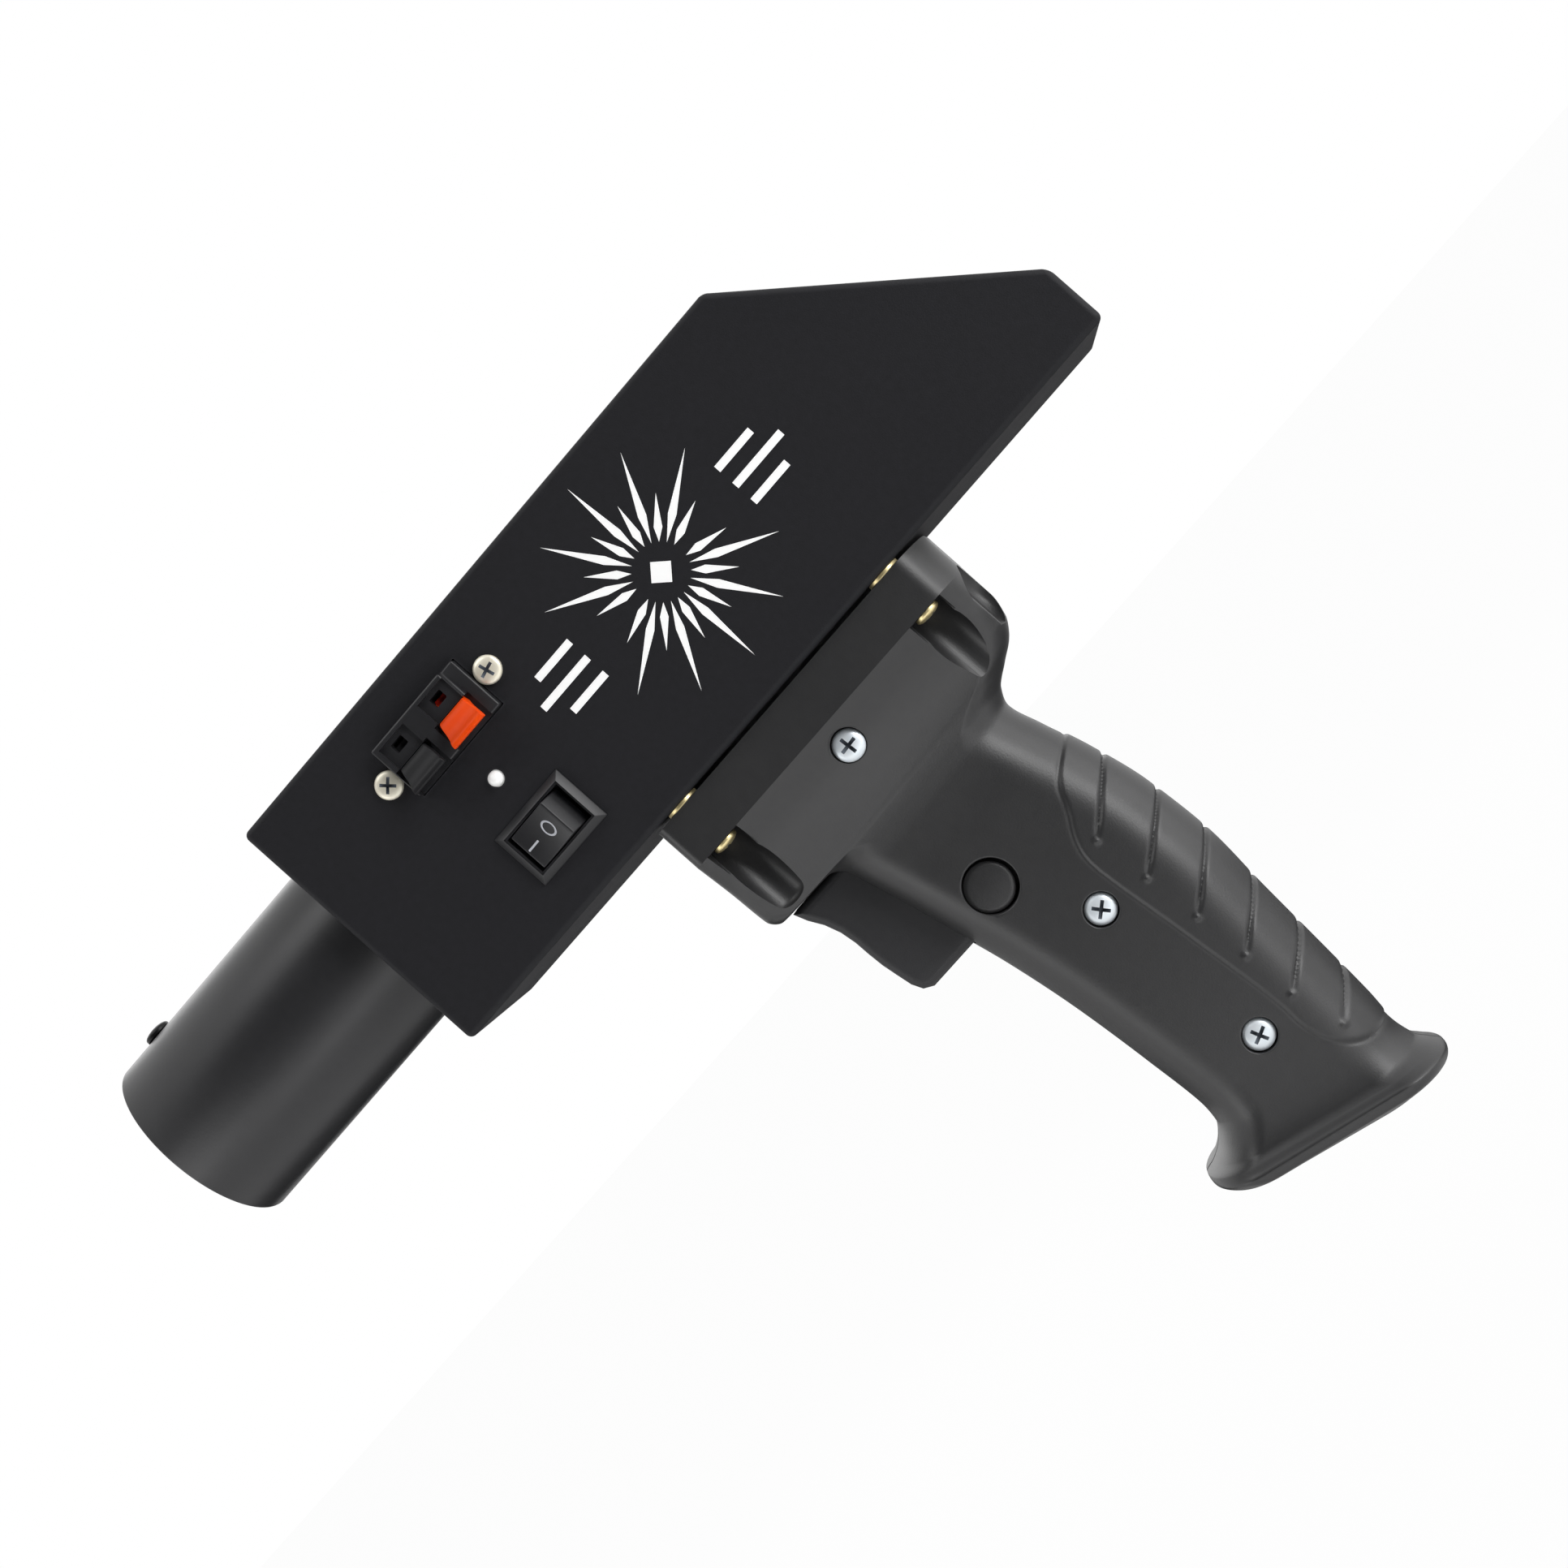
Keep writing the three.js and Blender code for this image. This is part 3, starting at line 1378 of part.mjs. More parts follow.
const shell = gripShell();
add('grip_left', gripHalf(shell, -1), gripPlastic);
add('grip_right', gripHalf(shell, 1), gripPlastic);
gripScrews.forEach(({ name, run, drop, outer }) => {
  const seat = gripScrewHeadSink - outer - seatGap;
  const length = gripScrewBlindDepth - seat - 2 * fitGap;
  const screw = domedScrew(
    gripScrewRadius,
    length,
    gripScrewHeadRadius,
    gripScrewHeadHeight,
    gripScrewRecess,
    gripScrewSlotWidth,
  );
  add(`grip_screw_${name}`, screw, zinc, [along(run), seat, below(drop)], [0, 0, Math.PI]);
});

// Mounting screws from below, washers between grip and body, nuts inside the body
const mountScrewLength =
  flangeDepth + sheetThickness + mountNutHeight + 3 * seatGap + mountScrewRadius;
mountPlaces.forEach(([x, y], i) => {
  const place = ['front_left', 'front_right', 'rear_left', 'rear_right'][i];
  const screw = domedScrew(mountScrewRadius, mountScrewLength, mountScrewHeadRadius, mountScrewHeadHeight);
  add(`mount_screw_${place}`, screw, brass, [x, y, below(flangeDepth) - seatGap], [-quarterTurn, 0, 0]);
  const ring = new THREE.Shape();
  ring.absarc(x, y, washerRadius, 0, 2 * Math.PI);
  const hole = new THREE.Path();
  hole.absarc(x, y, mountScrewRadius + fitGap, 0, 2 * Math.PI, true);
  ring.holes.push(hole);
  const washerLow = gripTop + seatGap;
  add(`mount_washer_${place}`, upPrism(ring, washerLow, washerLow + washerThickness), brass);
  const nut = new THREE.ExtrudeGeometry(hexagon(mountNutFlats, mountScrewRadius + fitGap / 2), {
    depth: mountNutHeight,
    bevelEnabled: false,
    curveSegments: screwFacets / 2,
  });
  add(`mount_nut_${place}`, nut, brass, [x, y, bodyBottom + sheetThickness + seatGap]);
});

// Trigger: finger piece, wings that keep it in the grip, tongue into the switch
function trigger() {
  const lipX = along(triggerLipRun);
  const toeX = along(triggerToeRun);
  const fingerX = along(triggerFingerRun);
  const bulgeX = fingerX - triggerEdgeRound / 2;
  const rearX = along(triggerRearRun);
  const middle = (triggerTop + triggerBottom) / 2;
  const shape = new THREE.Shape();
  shape.moveTo(lipX, triggerTop);
  shape.quadraticCurveTo(fingerX, middle + triggerEdgeRound * 2, bulgeX, middle - triggerEdgeRound);
  shape.quadraticCurveTo(bulgeX, triggerBottom + triggerEdgeRound, toeX, triggerBottom);
  shape.lineTo(rearX, triggerBottom);
  shape.lineTo(rearX, triggerTop);
  shape.closePath();
  const finger = sidePrism(shape, -triggerHalfWidth, triggerHalfWidth, triggerEdgeRound);
  const wingFront = (z) => frontEdge(z) + triggerWingSetback + 2 * runGap;
  const wings = sidePrism(
    polygon([
      [wingFront(guideBottom), guideBottom],
      [rearX, guideBottom],
      [rearX, guideTop],
      [wingFront(guideTop), guideTop],
    ]),
    -triggerWingHalfWidth,
    triggerWingHalfWidth,
  );
  const tongueTop = below(triggerTongueDrop) + triggerTongueThickness / 2;
  const tongue = block(
    [rearX - triggerEdgeRound, -triggerTongueHalfWidth, tongueTop - triggerTongueThickness],
    [rearX + triggerTongueLength, triggerTongueHalfWidth, tongueTop],
  );
  const springPocket = rod(
    triggerSpringRadius + triggerSpringWire,
    'x',
    [rearX, 0, below(triggerSpringDrop)],
    -triggerSpringPocket,
    overrun,
  );
  const notchHalf = lockStemRadius + 2 * runGap;
  const notchFloor = lockCupFloor - lockCupFloorY + lockStemReach + lockTravel + runGap;
  const lockNotch = block(
    [lockX - triggerTravel - notchHalf, -triggerWingHalfWidth - overrun, lockZ - notchHalf],
    [rearX + overrun, notchFloor, lockZ + notchHalf],
  );
  return cutBy(joined([finger, wings, tongue]), [springPocket, lockNotch]);
}

function triggerSwitch() {
  const low = below(switchBlockBottomDrop);
  const high = below(switchBlockTopDrop);
  const rear = triggerSwitchFront + switchBlockLength;
  const outline = rectangle(triggerSwitchFront, rear, low, high, switchBlockRound);
  const body = sidePrism(outline, -switchBlockHalfWidth, switchBlockHalfWidth);
  const tongueZ = below(triggerTongueDrop);
  const slotHalf = triggerTongueThickness / 2 + runGap;
  const slot = block(
    [triggerSwitchFront - overrun, -triggerTongueHalfWidth - runGap, tongueZ - slotHalf],
    [rear - gripWall, triggerTongueHalfWidth + runGap, tongueZ + slotHalf],
  );
  return body.subtract(slot);
}

// Lock button: a cap over its spring, with a stem that can enter the pulled trigger's notch
const lockFaceY = -handleHalf - lockProud;

function lockButton() {
  const capFoot = lockFaceY + lockCapWall + lockTravel;
  const skirt = lockButtonRadius - lockCapWall;
  const stemEnd = lockCupFloor - lockCupFloorY + lockStemReach;
  const profile = [
    [0, lockFaceY],
    [lockButtonRadius - lockCapWall / 2, lockFaceY],
    [lockButtonRadius, lockFaceY + lockCapWall / 2],
    [lockButtonRadius, capFoot],
    [skirt, capFoot],
    [skirt, lockFaceY + lockCapWall],
    [lockStemRadius, lockFaceY + lockCapWall],
    [lockStemRadius, stemEnd],
    [0, stemEnd],
  ];
  return turned(profile, 'y', [lockX, 0, lockZ], boreFacets / 2);
}

add('trigger', trigger(), triggerPlastic);
add('trigger_switch', triggerSwitch(), blackPlastic);
const triggerSpringStart = along(triggerRearRun) - triggerSpringPocket + runGap;
add(
  'trigger_spring',
  coilSpring(
    triggerSpringRadius,
    triggerSpringWire,
    triggerSpringTurns,
    triggerSwitchFront - triggerSpringStart - runGap,
  ),
  springSteel,
  [triggerSpringStart, 0, below(triggerSpringDrop)],
  [0, 0, -quarterTurn],
);
add('lock_button', lockButton(), triggerPlastic);
const lockSpringStart = lockFaceY + lockCapWall + runGap;
add(
  'lock_spring',
  coilSpring(lockSpringRadius, lockSpringWire, lockSpringTurns, -lockCupFloorY - lockSpringStart - runGap),
  springSteel,
  [lockX, lockSpringStart, lockZ],
);

// Battery holder with two cells
const holderMiddle = holderStart + holderLength / 2;
const cellZ = holderBottom + holderWall + fitGap + cellDiameter / 2;
const cellYs = [-1, 1].map((side) => (side * (cellDiameter + holderWall + 2 * fitGap)) / 2);

function batteryHolder() {
  const half = holderWidth / 2;
  const body = block(
    [holderStart, -half, holderBottom],
    [holderStart + holderLength, half, holderBottom + holderWall + holderWallHeight],
  );
  const troughRadius = cellDiameter / 2 + fitGap;
  const troughs = cellYs.flatMap((y) => {
    const ends = [holderEndWall - holderLength / 2, holderLength / 2 - holderEndWall];
    const round = rod(troughRadius, 'x', [holderMiddle, y, cellZ], ...ends, boreFacets / 2);
    const opening = block(
      [holderStart + holderEndWall, y - troughRadius, cellZ],
      [holderStart + holderLength - holderEndWall, y + troughRadius, cellZ + cellDiameter],
    );
    return [round, opening];
  });
  return cutBy(body, troughs);
}

function batteryCell(y, direction) {
  const start = -(cellLength + cellCapLength) / 2;
  const profile = [
    [0, start],
    [cellDiameter / 2, start],
    [cellDiameter / 2, start + cellLength],
    [cellCapRadius, start + cellLength],
    [cellCapRadius, -start],
    [0, -start],
  ];
  const faced = profile.map(([radius, place]) => [radius, direction * place]);
  return turned(faced, 'x', [holderMiddle, y, cellZ], boreFacets / 2);
}

add('battery_holder', batteryHolder(), blackPlastic);
cellYs.forEach((y, i) => add(`battery_cell_${i + 1}`, batteryCell(y, i === 0 ? 1 : -1), cellWrap));

// Circuit board with its relay, capacitor and connectors
function circuitBoard() {
  const boardHigh = boardLowest + boardHeight;
  const back = boardY + boardThickness;
  const board = block([boardStart, boardY, boardLowest], [boardStart + boardLength, back, boardHigh]);
  const relayX = boardStart + 2 * boardHoleInset + boardThickness;
  const relay = block(
    [relayX, back - seatGap, boardHigh - 2 * boardHoleInset - relayWidth],
    [relayX + relayLength, back + relayHeight, boardHigh - 2 * boardHoleInset],
  );
  const capacitor = rod(
    capacitorRadius,
    'y',
    [boardStart + boardLength - 2 * boardHoleInset - capacitorRadius, 0, boardLowest + boardHeight / 2],
    back - seatGap,
    back + capacitorHeight,
  );
  const connector = block(
    [gripMiddleX - connectorLength, back - seatGap, boardLowest],
    [gripMiddleX, back + connectorHeight, boardLowest + connectorWidth],
  );
  const holes = boardPlaces.map(([x, z]) =>
    rod(standoffDiameter / 4, 'y', [x, 0, z], boardY - overrun, back + overrun),
  );
  return cutBy(joined([board, relay, capacitor, connector]), holes);
}

add('circuit_board', circuitBoard(), boardGreen);

// Wire looms, from piece to piece inside the body and the grip
const connectorX = gripMiddleX - connectorLength / 2;
const connectorTopY = boardY + boardThickness + connectorHeight;
const connectorZ = boardLowest + connectorWidth / 2;
const triggerPlugX = connectorX - connectorLength / 4;
const batteryPlugX = connectorX + connectorLength / 4;
const holderPlugZ = holderBottom + holderWallHeight / 2;
const holderPlugX = holderStart - overrun;
const overCells = cellZ + cellDiameter / 2 + overrun;
const looms = [
  {
    name: 'trigger_loom',
    route: [
      [triggerLoomX, 0, below(switchBlockTopDrop) + loomEndGap],
      [triggerLoomX, 0, below(switchBlockTopDrop) + overrun],
      [loomHoleX, 0, below(flangeDepth)],
      [loomHoleX, 0, bodyBottom + overrun],
      [loomHoleX, 0, overCells],
      [triggerPlugX, connectorTopY + 2 * overrun, connectorZ],
      [triggerPlugX, connectorTopY + loomEndGap, connectorZ],
    ],
  },
  {
    name: 'battery_loom',
    route: [
      [holderStart - loomEndGap, cellYs[1], holderPlugZ],
      [holderPlugX, cellYs[1], holderPlugZ + loomRadius],
      [holderPlugX, cellYs[1], overCells],
      [batteryPlugX, connectorTopY + 2 * overrun, connectorZ],
      [batteryPlugX, connectorTopY + loomEndGap, connectorZ],
    ],
  },
];
looms.forEach(({ name, route }) => {
  const points = route.map((place) => new THREE.Vector3(...place));
  add(name, tube(points, loomRadius, loomSteps, loomFacets), wireRed);
});

export default model;
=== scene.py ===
"""Dresses the hand-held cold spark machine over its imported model.

Sizes in the classes are millimetres in the row frame: the barrel points to -X, the grip hangs
to -Z and the controls face -Y. Meshes are built in metres. Touching faces keep GAP between them.
"""

from __future__ import annotations

import logging
import math
from contextlib import contextmanager
from dataclasses import dataclass
from enum import Enum
from typing import Callable, Iterator, Sequence

import bmesh
import bpy
import numpy as np
from mathutils import Matrix, Vector


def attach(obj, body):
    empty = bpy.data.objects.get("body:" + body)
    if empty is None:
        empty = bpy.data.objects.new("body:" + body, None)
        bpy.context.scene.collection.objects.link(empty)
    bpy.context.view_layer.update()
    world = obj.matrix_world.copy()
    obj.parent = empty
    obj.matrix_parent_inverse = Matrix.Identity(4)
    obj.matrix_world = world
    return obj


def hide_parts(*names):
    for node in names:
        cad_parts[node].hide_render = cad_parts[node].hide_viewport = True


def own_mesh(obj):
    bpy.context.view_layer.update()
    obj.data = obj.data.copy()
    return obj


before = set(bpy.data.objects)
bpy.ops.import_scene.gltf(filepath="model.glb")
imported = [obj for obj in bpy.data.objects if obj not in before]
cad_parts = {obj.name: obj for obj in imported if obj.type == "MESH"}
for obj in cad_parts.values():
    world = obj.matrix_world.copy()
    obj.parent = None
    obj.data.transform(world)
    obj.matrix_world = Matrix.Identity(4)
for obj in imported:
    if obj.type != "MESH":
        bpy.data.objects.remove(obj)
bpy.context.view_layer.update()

log = logging.getLogger("cold_spark_machine")
MM = 0.001
GAP = 0.05
ORIGIN = (0, 0, 0)
PANEL = -30.0
LOCK_X, LOCK_Z = 100.6, -97.3
Piece = bpy.types.Object
Place = Sequence[float]
Outline = Sequence[tuple[float, float]]


class Axis(Enum):
    """A row axis, with the turn that brings +Z onto it."""

    X = Matrix.Rotation(math.pi / 2, 4, "Y")
    Y = Matrix.Rotation(-math.pi / 2, 4, "X")
    Z = Matrix.Identity(4)

    def place(self, u: float, v: float, w: float) -> Vector:
        """Returns a point from two coordinates across the axis and one along it."""
        order = {Axis.X: (w, u, v), Axis.Y: (u, w, v), Axis.Z: (u, v, w)}[self]
        return Vector(order)


# Shop tools


def select_only(piece: Piece) -> None:
    """Makes one piece the only selected and the active one."""
    bpy.ops.object.select_all(action="DESELECT")
    piece.select_set(True)
    bpy.context.view_layer.objects.active = piece


@contextmanager
def editing(piece: Piece) -> Iterator[Piece]:
    """Opens a piece in edit mode with all of it selected, and closes it again.

    Args:
        piece: the mesh to edit.
    """
    select_only(piece)
    bpy.ops.object.mode_set(mode="EDIT")
    bpy.ops.mesh.select_mode(type="VERT")
    bpy.ops.mesh.select_all(action="SELECT")
    try:
        yield piece
    finally:
        bpy.ops.object.mode_set(mode="OBJECT")


def added(primitive: Callable[..., object], **settings: object) -> Piece:
    """Adds one of Blender's primitive meshes and returns it."""
    bpy.ops.object.select_all(action="DESELECT")
    primitive(**settings)
    return bpy.context.active_object


def face_outwards(piece: Piece) -> Piece:
    """Merges doubled corners and turns every face outwards."""
    with editing(piece):
        bpy.ops.mesh.remove_doubles(threshold=1e-6)
        bpy.ops.mesh.normals_make_consistent(inside=False)
    return piece


def settled(piece: Piece, name: str) -> Piece:
    """Puts a piece's place into its mesh and names it.

    Args:
        piece: the mesh to settle.
        name: its new name.

    Returns:
        The same piece, its object at the origin.
    """
    select_only(piece)
    bpy.ops.object.transform_apply(location=True, rotation=True, scale=True)
    piece.name = name
    piece.data.name = name
    return piece


def moved(piece: Piece, matrix: Matrix) -> Piece:
    """Moves a settled piece by a matrix and settles it there."""
    piece.matrix_world = matrix
    return settled(piece, piece.name)


def turned_about(piece: Piece, degrees: float, axis: str, pivot: Place) -> Piece:
    """Turns a piece about an axis through a pivot given in millimetres."""
    centre = Matrix.Translation(Vector(pivot) * MM)
    turn = Matrix.Rotation(math.radians(degrees), 4, axis)
    return moved(piece, centre @ turn @ centre.inverted())


def copied(piece: Piece, name: str, matrix: Matrix) -> Piece:
    """Copies a piece with its own mesh to a new place.

    Args:
        piece: the piece to copy.
        name: the copy's name.
        matrix: where the copy goes.

    Returns:
        The copy.
    """
    twin = piece.copy()
    twin.data = piece.data.copy()
    bpy.context.scene.collection.objects.link(twin)
    twin.matrix_world = matrix
    return settled(twin, name)


def discard(piece: Piece) -> None:
    """Removes a piece that was only a pattern or a cutter."""
    bpy.data.objects.remove(piece)


def mesh_piece(name: str, points: Sequence[Place], edges: Sequence, faces: Sequence) -> Piece:
    """Makes a piece from corners in metres."""
    mesh = bpy.data.meshes.new(name)
    mesh.from_pydata([tuple(p) for p in points], edges, faces)
    piece = bpy.data.objects.new(name, mesh)
    bpy.context.scene.collection.objects.link(piece)
    return piece


def block(name: str, low: Place, high: Place) -> Piece:
    """A block between two corners in millimetres."""
    first, last = Vector(low) * MM, Vector(high) * MM
    piece = added(bpy.ops.mesh.primitive_cube_add, size=1, location=(first + last) / 2)
    piece.scale = last - first
    return settled(piece, name)


def side_block(name: str, middle: Place, half: Place, low: float, high: float) -> Piece:
    """A block given by its centre in the side view.

    Args:
        name: its name.
        middle: its centre's run and height.
        half: half its length and half its height.
        low: where it starts across the machine.
        high: where it ends.

    Returns:
        The new piece.
    """
    (x, z), (length, height) = middle, half
    return block(name, (x - length, low, z - height), (x + length, high, z + height))


def drum(name: str, radius: float, axis: Axis, centre: Place, low: float, high: float, sides: int = 64) -> Piece:
    """A cylinder along an axis.

    Args:
        name: its name.
        radius: in millimetres.
        axis: the direction it lies in.
        centre: a point on its axis, in millimetres.
        low: where it starts along the axis from that point.
        high: where it ends.
        sides: how many sides it has.

    Returns:
        The new piece.
    """
    piece = added(bpy.ops.mesh.primitive_cylinder_add, vertices=sides, radius=radius * MM, depth=(high - low) * MM)
    lift = Matrix.Translation(axis.place(0, 0, (low + high) / 2 * MM))
    piece.matrix_world = Matrix.Translation(Vector(centre) * MM) @ lift @ axis.value
    return settled(piece, name)


def spun(name: str, profile: Outline, axis: Axis, centre: Place, sides: int = 64) -> Piece:
    """A turned piece.

    Args:
        name: its name.
        profile: radius and place along the axis for each point, in millimetres.
        axis: the axis it is turned about.
        centre: a point on that axis, in millimetres.
        sides: steps round the axis.

    Returns:
        The new piece.
    """
    points = [(radius * MM, 0, place * MM) for radius, place in profile]
    piece = mesh_piece(name, points, [(i, i + 1) for i in range(len(points) - 1)], [])
    spin = piece.modifiers.new("spin", "SCREW")
    spin.steps = spin.render_steps = sides
    spin.use_merge_vertices = True
    spin.merge_threshold = 1e-6
    finish_modifier(piece, spin)
    piece.matrix_world = Matrix.Translation(Vector(centre) * MM) @ axis.value
    return face_outwards(settled(piece, name))


def plate(name: str, outline: Outline, axis: Axis, low: float, high: float) -> Piece:
    """An outline carried along an axis.

    Args:
        name: its name.
        outline: its corners across the axis, in millimetres.
        axis: the direction it is thick in.
        low: where it starts along the axis.
        high: where it ends.

    Returns:
        The new piece.
    """
    corners = [axis.place(u, v, low) * MM for u, v in outline]
    piece = mesh_piece(name, corners, [], [tuple(range(len(corners)))])
    with editing(piece):
        step = axis.place(0, 0, high - low) * MM
        bpy.ops.mesh.extrude_region_move(TRANSFORM_OT_translate={"value": step})
    return face_outwards(piece)


def dome(radius: float, low: float, high: float, steps: int) -> list[tuple[float, float]]:
    """A dome's profile, from the first step above its rim up to its middle.

    Args:
        radius: the rim's radius.
        low: the rim's place along the axis.
        high: the middle's place.
        steps: how many steps the quarter has.

    Returns:
        Radius and place along the axis of each point.
    """
    angles = [i / steps * math.pi / 2 for i in range(1, steps)]
    return [*((radius * math.cos(a), low + (high - low) * math.sin(a)) for a in angles), (0, high)]


def finish_modifier(piece: Piece, modifier: bpy.types.Modifier) -> None:
    """Applies a modifier."""
    select_only(piece)
    bpy.ops.object.modifier_apply(modifier=modifier.name)


def eased(piece: Piece, width: float, segments: int = 3, degrees: float = 30) -> Piece:
    """Rounds every edge sharper than an angle."""
    ease = piece.modifiers.new("ease", "BEVEL")
    ease.width = width * MM
    ease.segments = segments
    ease.limit_method = "ANGLE"
    ease.angle_limit = math.radians(degrees)
    finish_modifier(piece, ease)
    return piece


def round_edges(piece: Piece, chosen: Callable[[Vector, Vector], bool], width: float, segments: int) -> Piece:
    """Rounds the edges that a test on their two ends picks.

    Args:
        piece: the piece to round.
        chosen: takes both ends in millimetres and says if the edge is rounded.
        width: the rounding in millimetres.
        segments: its steps.

    Returns:
        The same piece.
    """
    with editing(piece):
        bpy.ops.mesh.select_mode(type="EDGE")
        bpy.ops.mesh.select_all(action="DESELECT")
        mesh = bmesh.from_edit_mesh(piece.data)
        for edge in mesh.edges:
            first, last = (corner.co / MM for corner in edge.verts)
            edge.select_set(chosen(first, last))
        bmesh.update_edit_mesh(piece.data)
        bpy.ops.mesh.bevel(offset=width * MM, segments=segments, affect="EDGES")
    return piece


def sliced(piece: Piece, point: Place, normal: Place) -> Piece:
    """Cuts away what lies beyond a plane and closes the cut."""
    with editing(piece):
        bpy.ops.mesh.bisect(
            plane_co=Vector(point) * MM,
            plane_no=Vector(normal).normalized(),
            use_fill=True,
            clear_outer=True,
        )
    return piece


class Cut(Enum):
    """How one piece changes another."""

    AWAY = "DIFFERENCE"
    JOIN = "UNION"


def worked(piece: Piece, how: Cut, *tools: Piece, solver: str = "EXACT") -> Piece:
    """Cuts a piece with others, which are used up.

    Args:
        piece: the piece that stays.
        how: cut away or join.
        tools: the other pieces.
        solver: which of the two solvers does it.

    Returns:
        The same piece.
    """
    for tool in tools:
        work = piece.modifiers.new("work", "BOOLEAN")
        work.operation = how.value
        work.solver = solver
        work.object = tool
        finish_modifier(piece, work)
        discard(tool)
    return piece


def smooth(piece: Piece, degrees: float = 32) -> Piece:
    """Shades a piece smooth across all but its sharp edges."""
    select_only(piece)
    bpy.ops.object.shade_smooth_by_angle(angle=math.radians(degrees))
    return piece


def flat_faced(piece: Piece) -> Piece:
    """Lets a piece's large flat faces set the shading along its rounded edges.

    Args:
        piece: the piece, already shaded smooth.

    Returns:
        The same piece.
    """
    weight = piece.modifiers.new("weight", "WEIGHTED_NORMAL")
    weight.mode = "FACE_AREA"
    weight.weight = 100
    weight.keep_sharp = True
    finish_modifier(piece, weight)
    return piece


def joined(name: str, pieces: Sequence[Piece]) -> Piece:
    """Puts several pieces into one object without merging them."""
    bpy.ops.object.select_all(action="DESELECT")
    for piece in pieces:
        piece.select_set(True)
    bpy.context.view_layer.objects.active = pieces[0]
    bpy.ops.object.join()
    return settled(pieces[0], name)


# Finishes


def linear(colour: str) -> tuple[float, float, float, float]:
    """Turns a hex colour as it looks on a screen into Blender's linear values."""
    parts = [int(colour[i : i + 2], 16) / 255 for i in (0, 2, 4)]
    values = [c / 12.92 if c <= 0.04045 else ((c + 0.055) / 1.055) ** 2.4 for c in parts]
    return (*values, 1.0)


class Wiring:
    """Places nodes in a tree and links them."""

    def __init__(self, tree: bpy.types.NodeTree) -> None:
        """Keeps the tree to work on."""
        self.tree = tree

    def node(self, kind: str, **settings: object) -> bpy.types.Node:
        """Adds a node and sets its properties."""
        made = self.tree.nodes.new(kind)
        for key, value in settings.items():
            setattr(made, key, value)
        return made

    def feed(self, node: bpy.types.Node, **inputs: object) -> bpy.types.Node:
        """Sets or links a node's inputs, each named in lower case with underscores.

        Args:
            node: the node to feed.
            inputs: a socket to link or a value to set for each input.

        Returns:
            The same node.
        """
        for key, value in inputs.items():
            wanted = key.replace("_", " ")
            self.put(value, next(s for s in node.inputs if s.name.lower() == wanted and s.enabled))
        return node

    def put(self, value: object, socket: bpy.types.NodeSocket) -> None:
        """Links another socket to an input, or sets the input to a value."""
        if isinstance(value, bpy.types.NodeSocket):
            self.tree.links.new(value, socket)
        else:
            socket.default_value = value

    def math(self, operation: str, first: object, second: object = 0.0) -> bpy.types.NodeSocket:
        """Adds a math node and returns its output."""
        made = self.node("ShaderNodeMath", operation=operation)
        self.put(first, made.inputs[0])
        self.put(second, made.inputs[1])
        return made.outputs[0]

    def noise(self, place: object, scale: object, **inputs: float) -> bpy.types.NodeSocket:
        """Adds a noise texture and returns its value."""
        return self.feed(self.node("ShaderNodeTexNoise"), vector=place, scale=scale, **inputs).outputs["Fac"]

    def seen(self) -> bpy.types.NodeSocket:
        """Returns whether a ray comes from the camera, a mirror or glass."""
        rays = self.node("ShaderNodeLightPath").outputs
        mirrored = self.math("MAXIMUM", rays["Is Camera Ray"], rays["Is Glossy Ray"])
        return self.math("MAXIMUM", mirrored, rays["Is Transmission Ray"])

    def surface(self, shader: bpy.types.Node, output: str = "ShaderNodeOutputMaterial") -> None:
        """Adds the tree's output node and links a shader to its surface."""
        self.put(shader.outputs[0], self.node(output).inputs["Surface"])


def bare_wiring(owner: bpy.types.ID) -> Wiring:
    """Empties the nodes of a material or a world and returns their wiring."""
    owner.use_nodes = True
    owner.node_tree.nodes.clear()
    return Wiring(owner.node_tree)


def new_group(name: str, inputs: dict[str, float], outputs: Sequence[str]) -> tuple[Wiring, object, object]:
    """Starts a shader node group.

    Args:
        name: the group's name.
        inputs: each number input with its default.
        outputs: the names of the number outputs.

    Returns:
        The group's wiring, its input node and its output node.
    """
    tree = bpy.data.node_groups.new(name, "ShaderNodeTree")
    tree.interface.new_socket("Vector", in_out="INPUT", socket_type="NodeSocketVector")
    for label, value in inputs.items():
        socket = tree.interface.new_socket(label, in_out="INPUT", socket_type="NodeSocketFloat")
        socket.default_value = value
    for label in outputs:
        tree.interface.new_socket(label, in_out="OUTPUT", socket_type="NodeSocketFloat")
    wiring = Wiring(tree)
    return wiring, wiring.node("NodeGroupInput"), wiring.node("NodeGroupOutput")


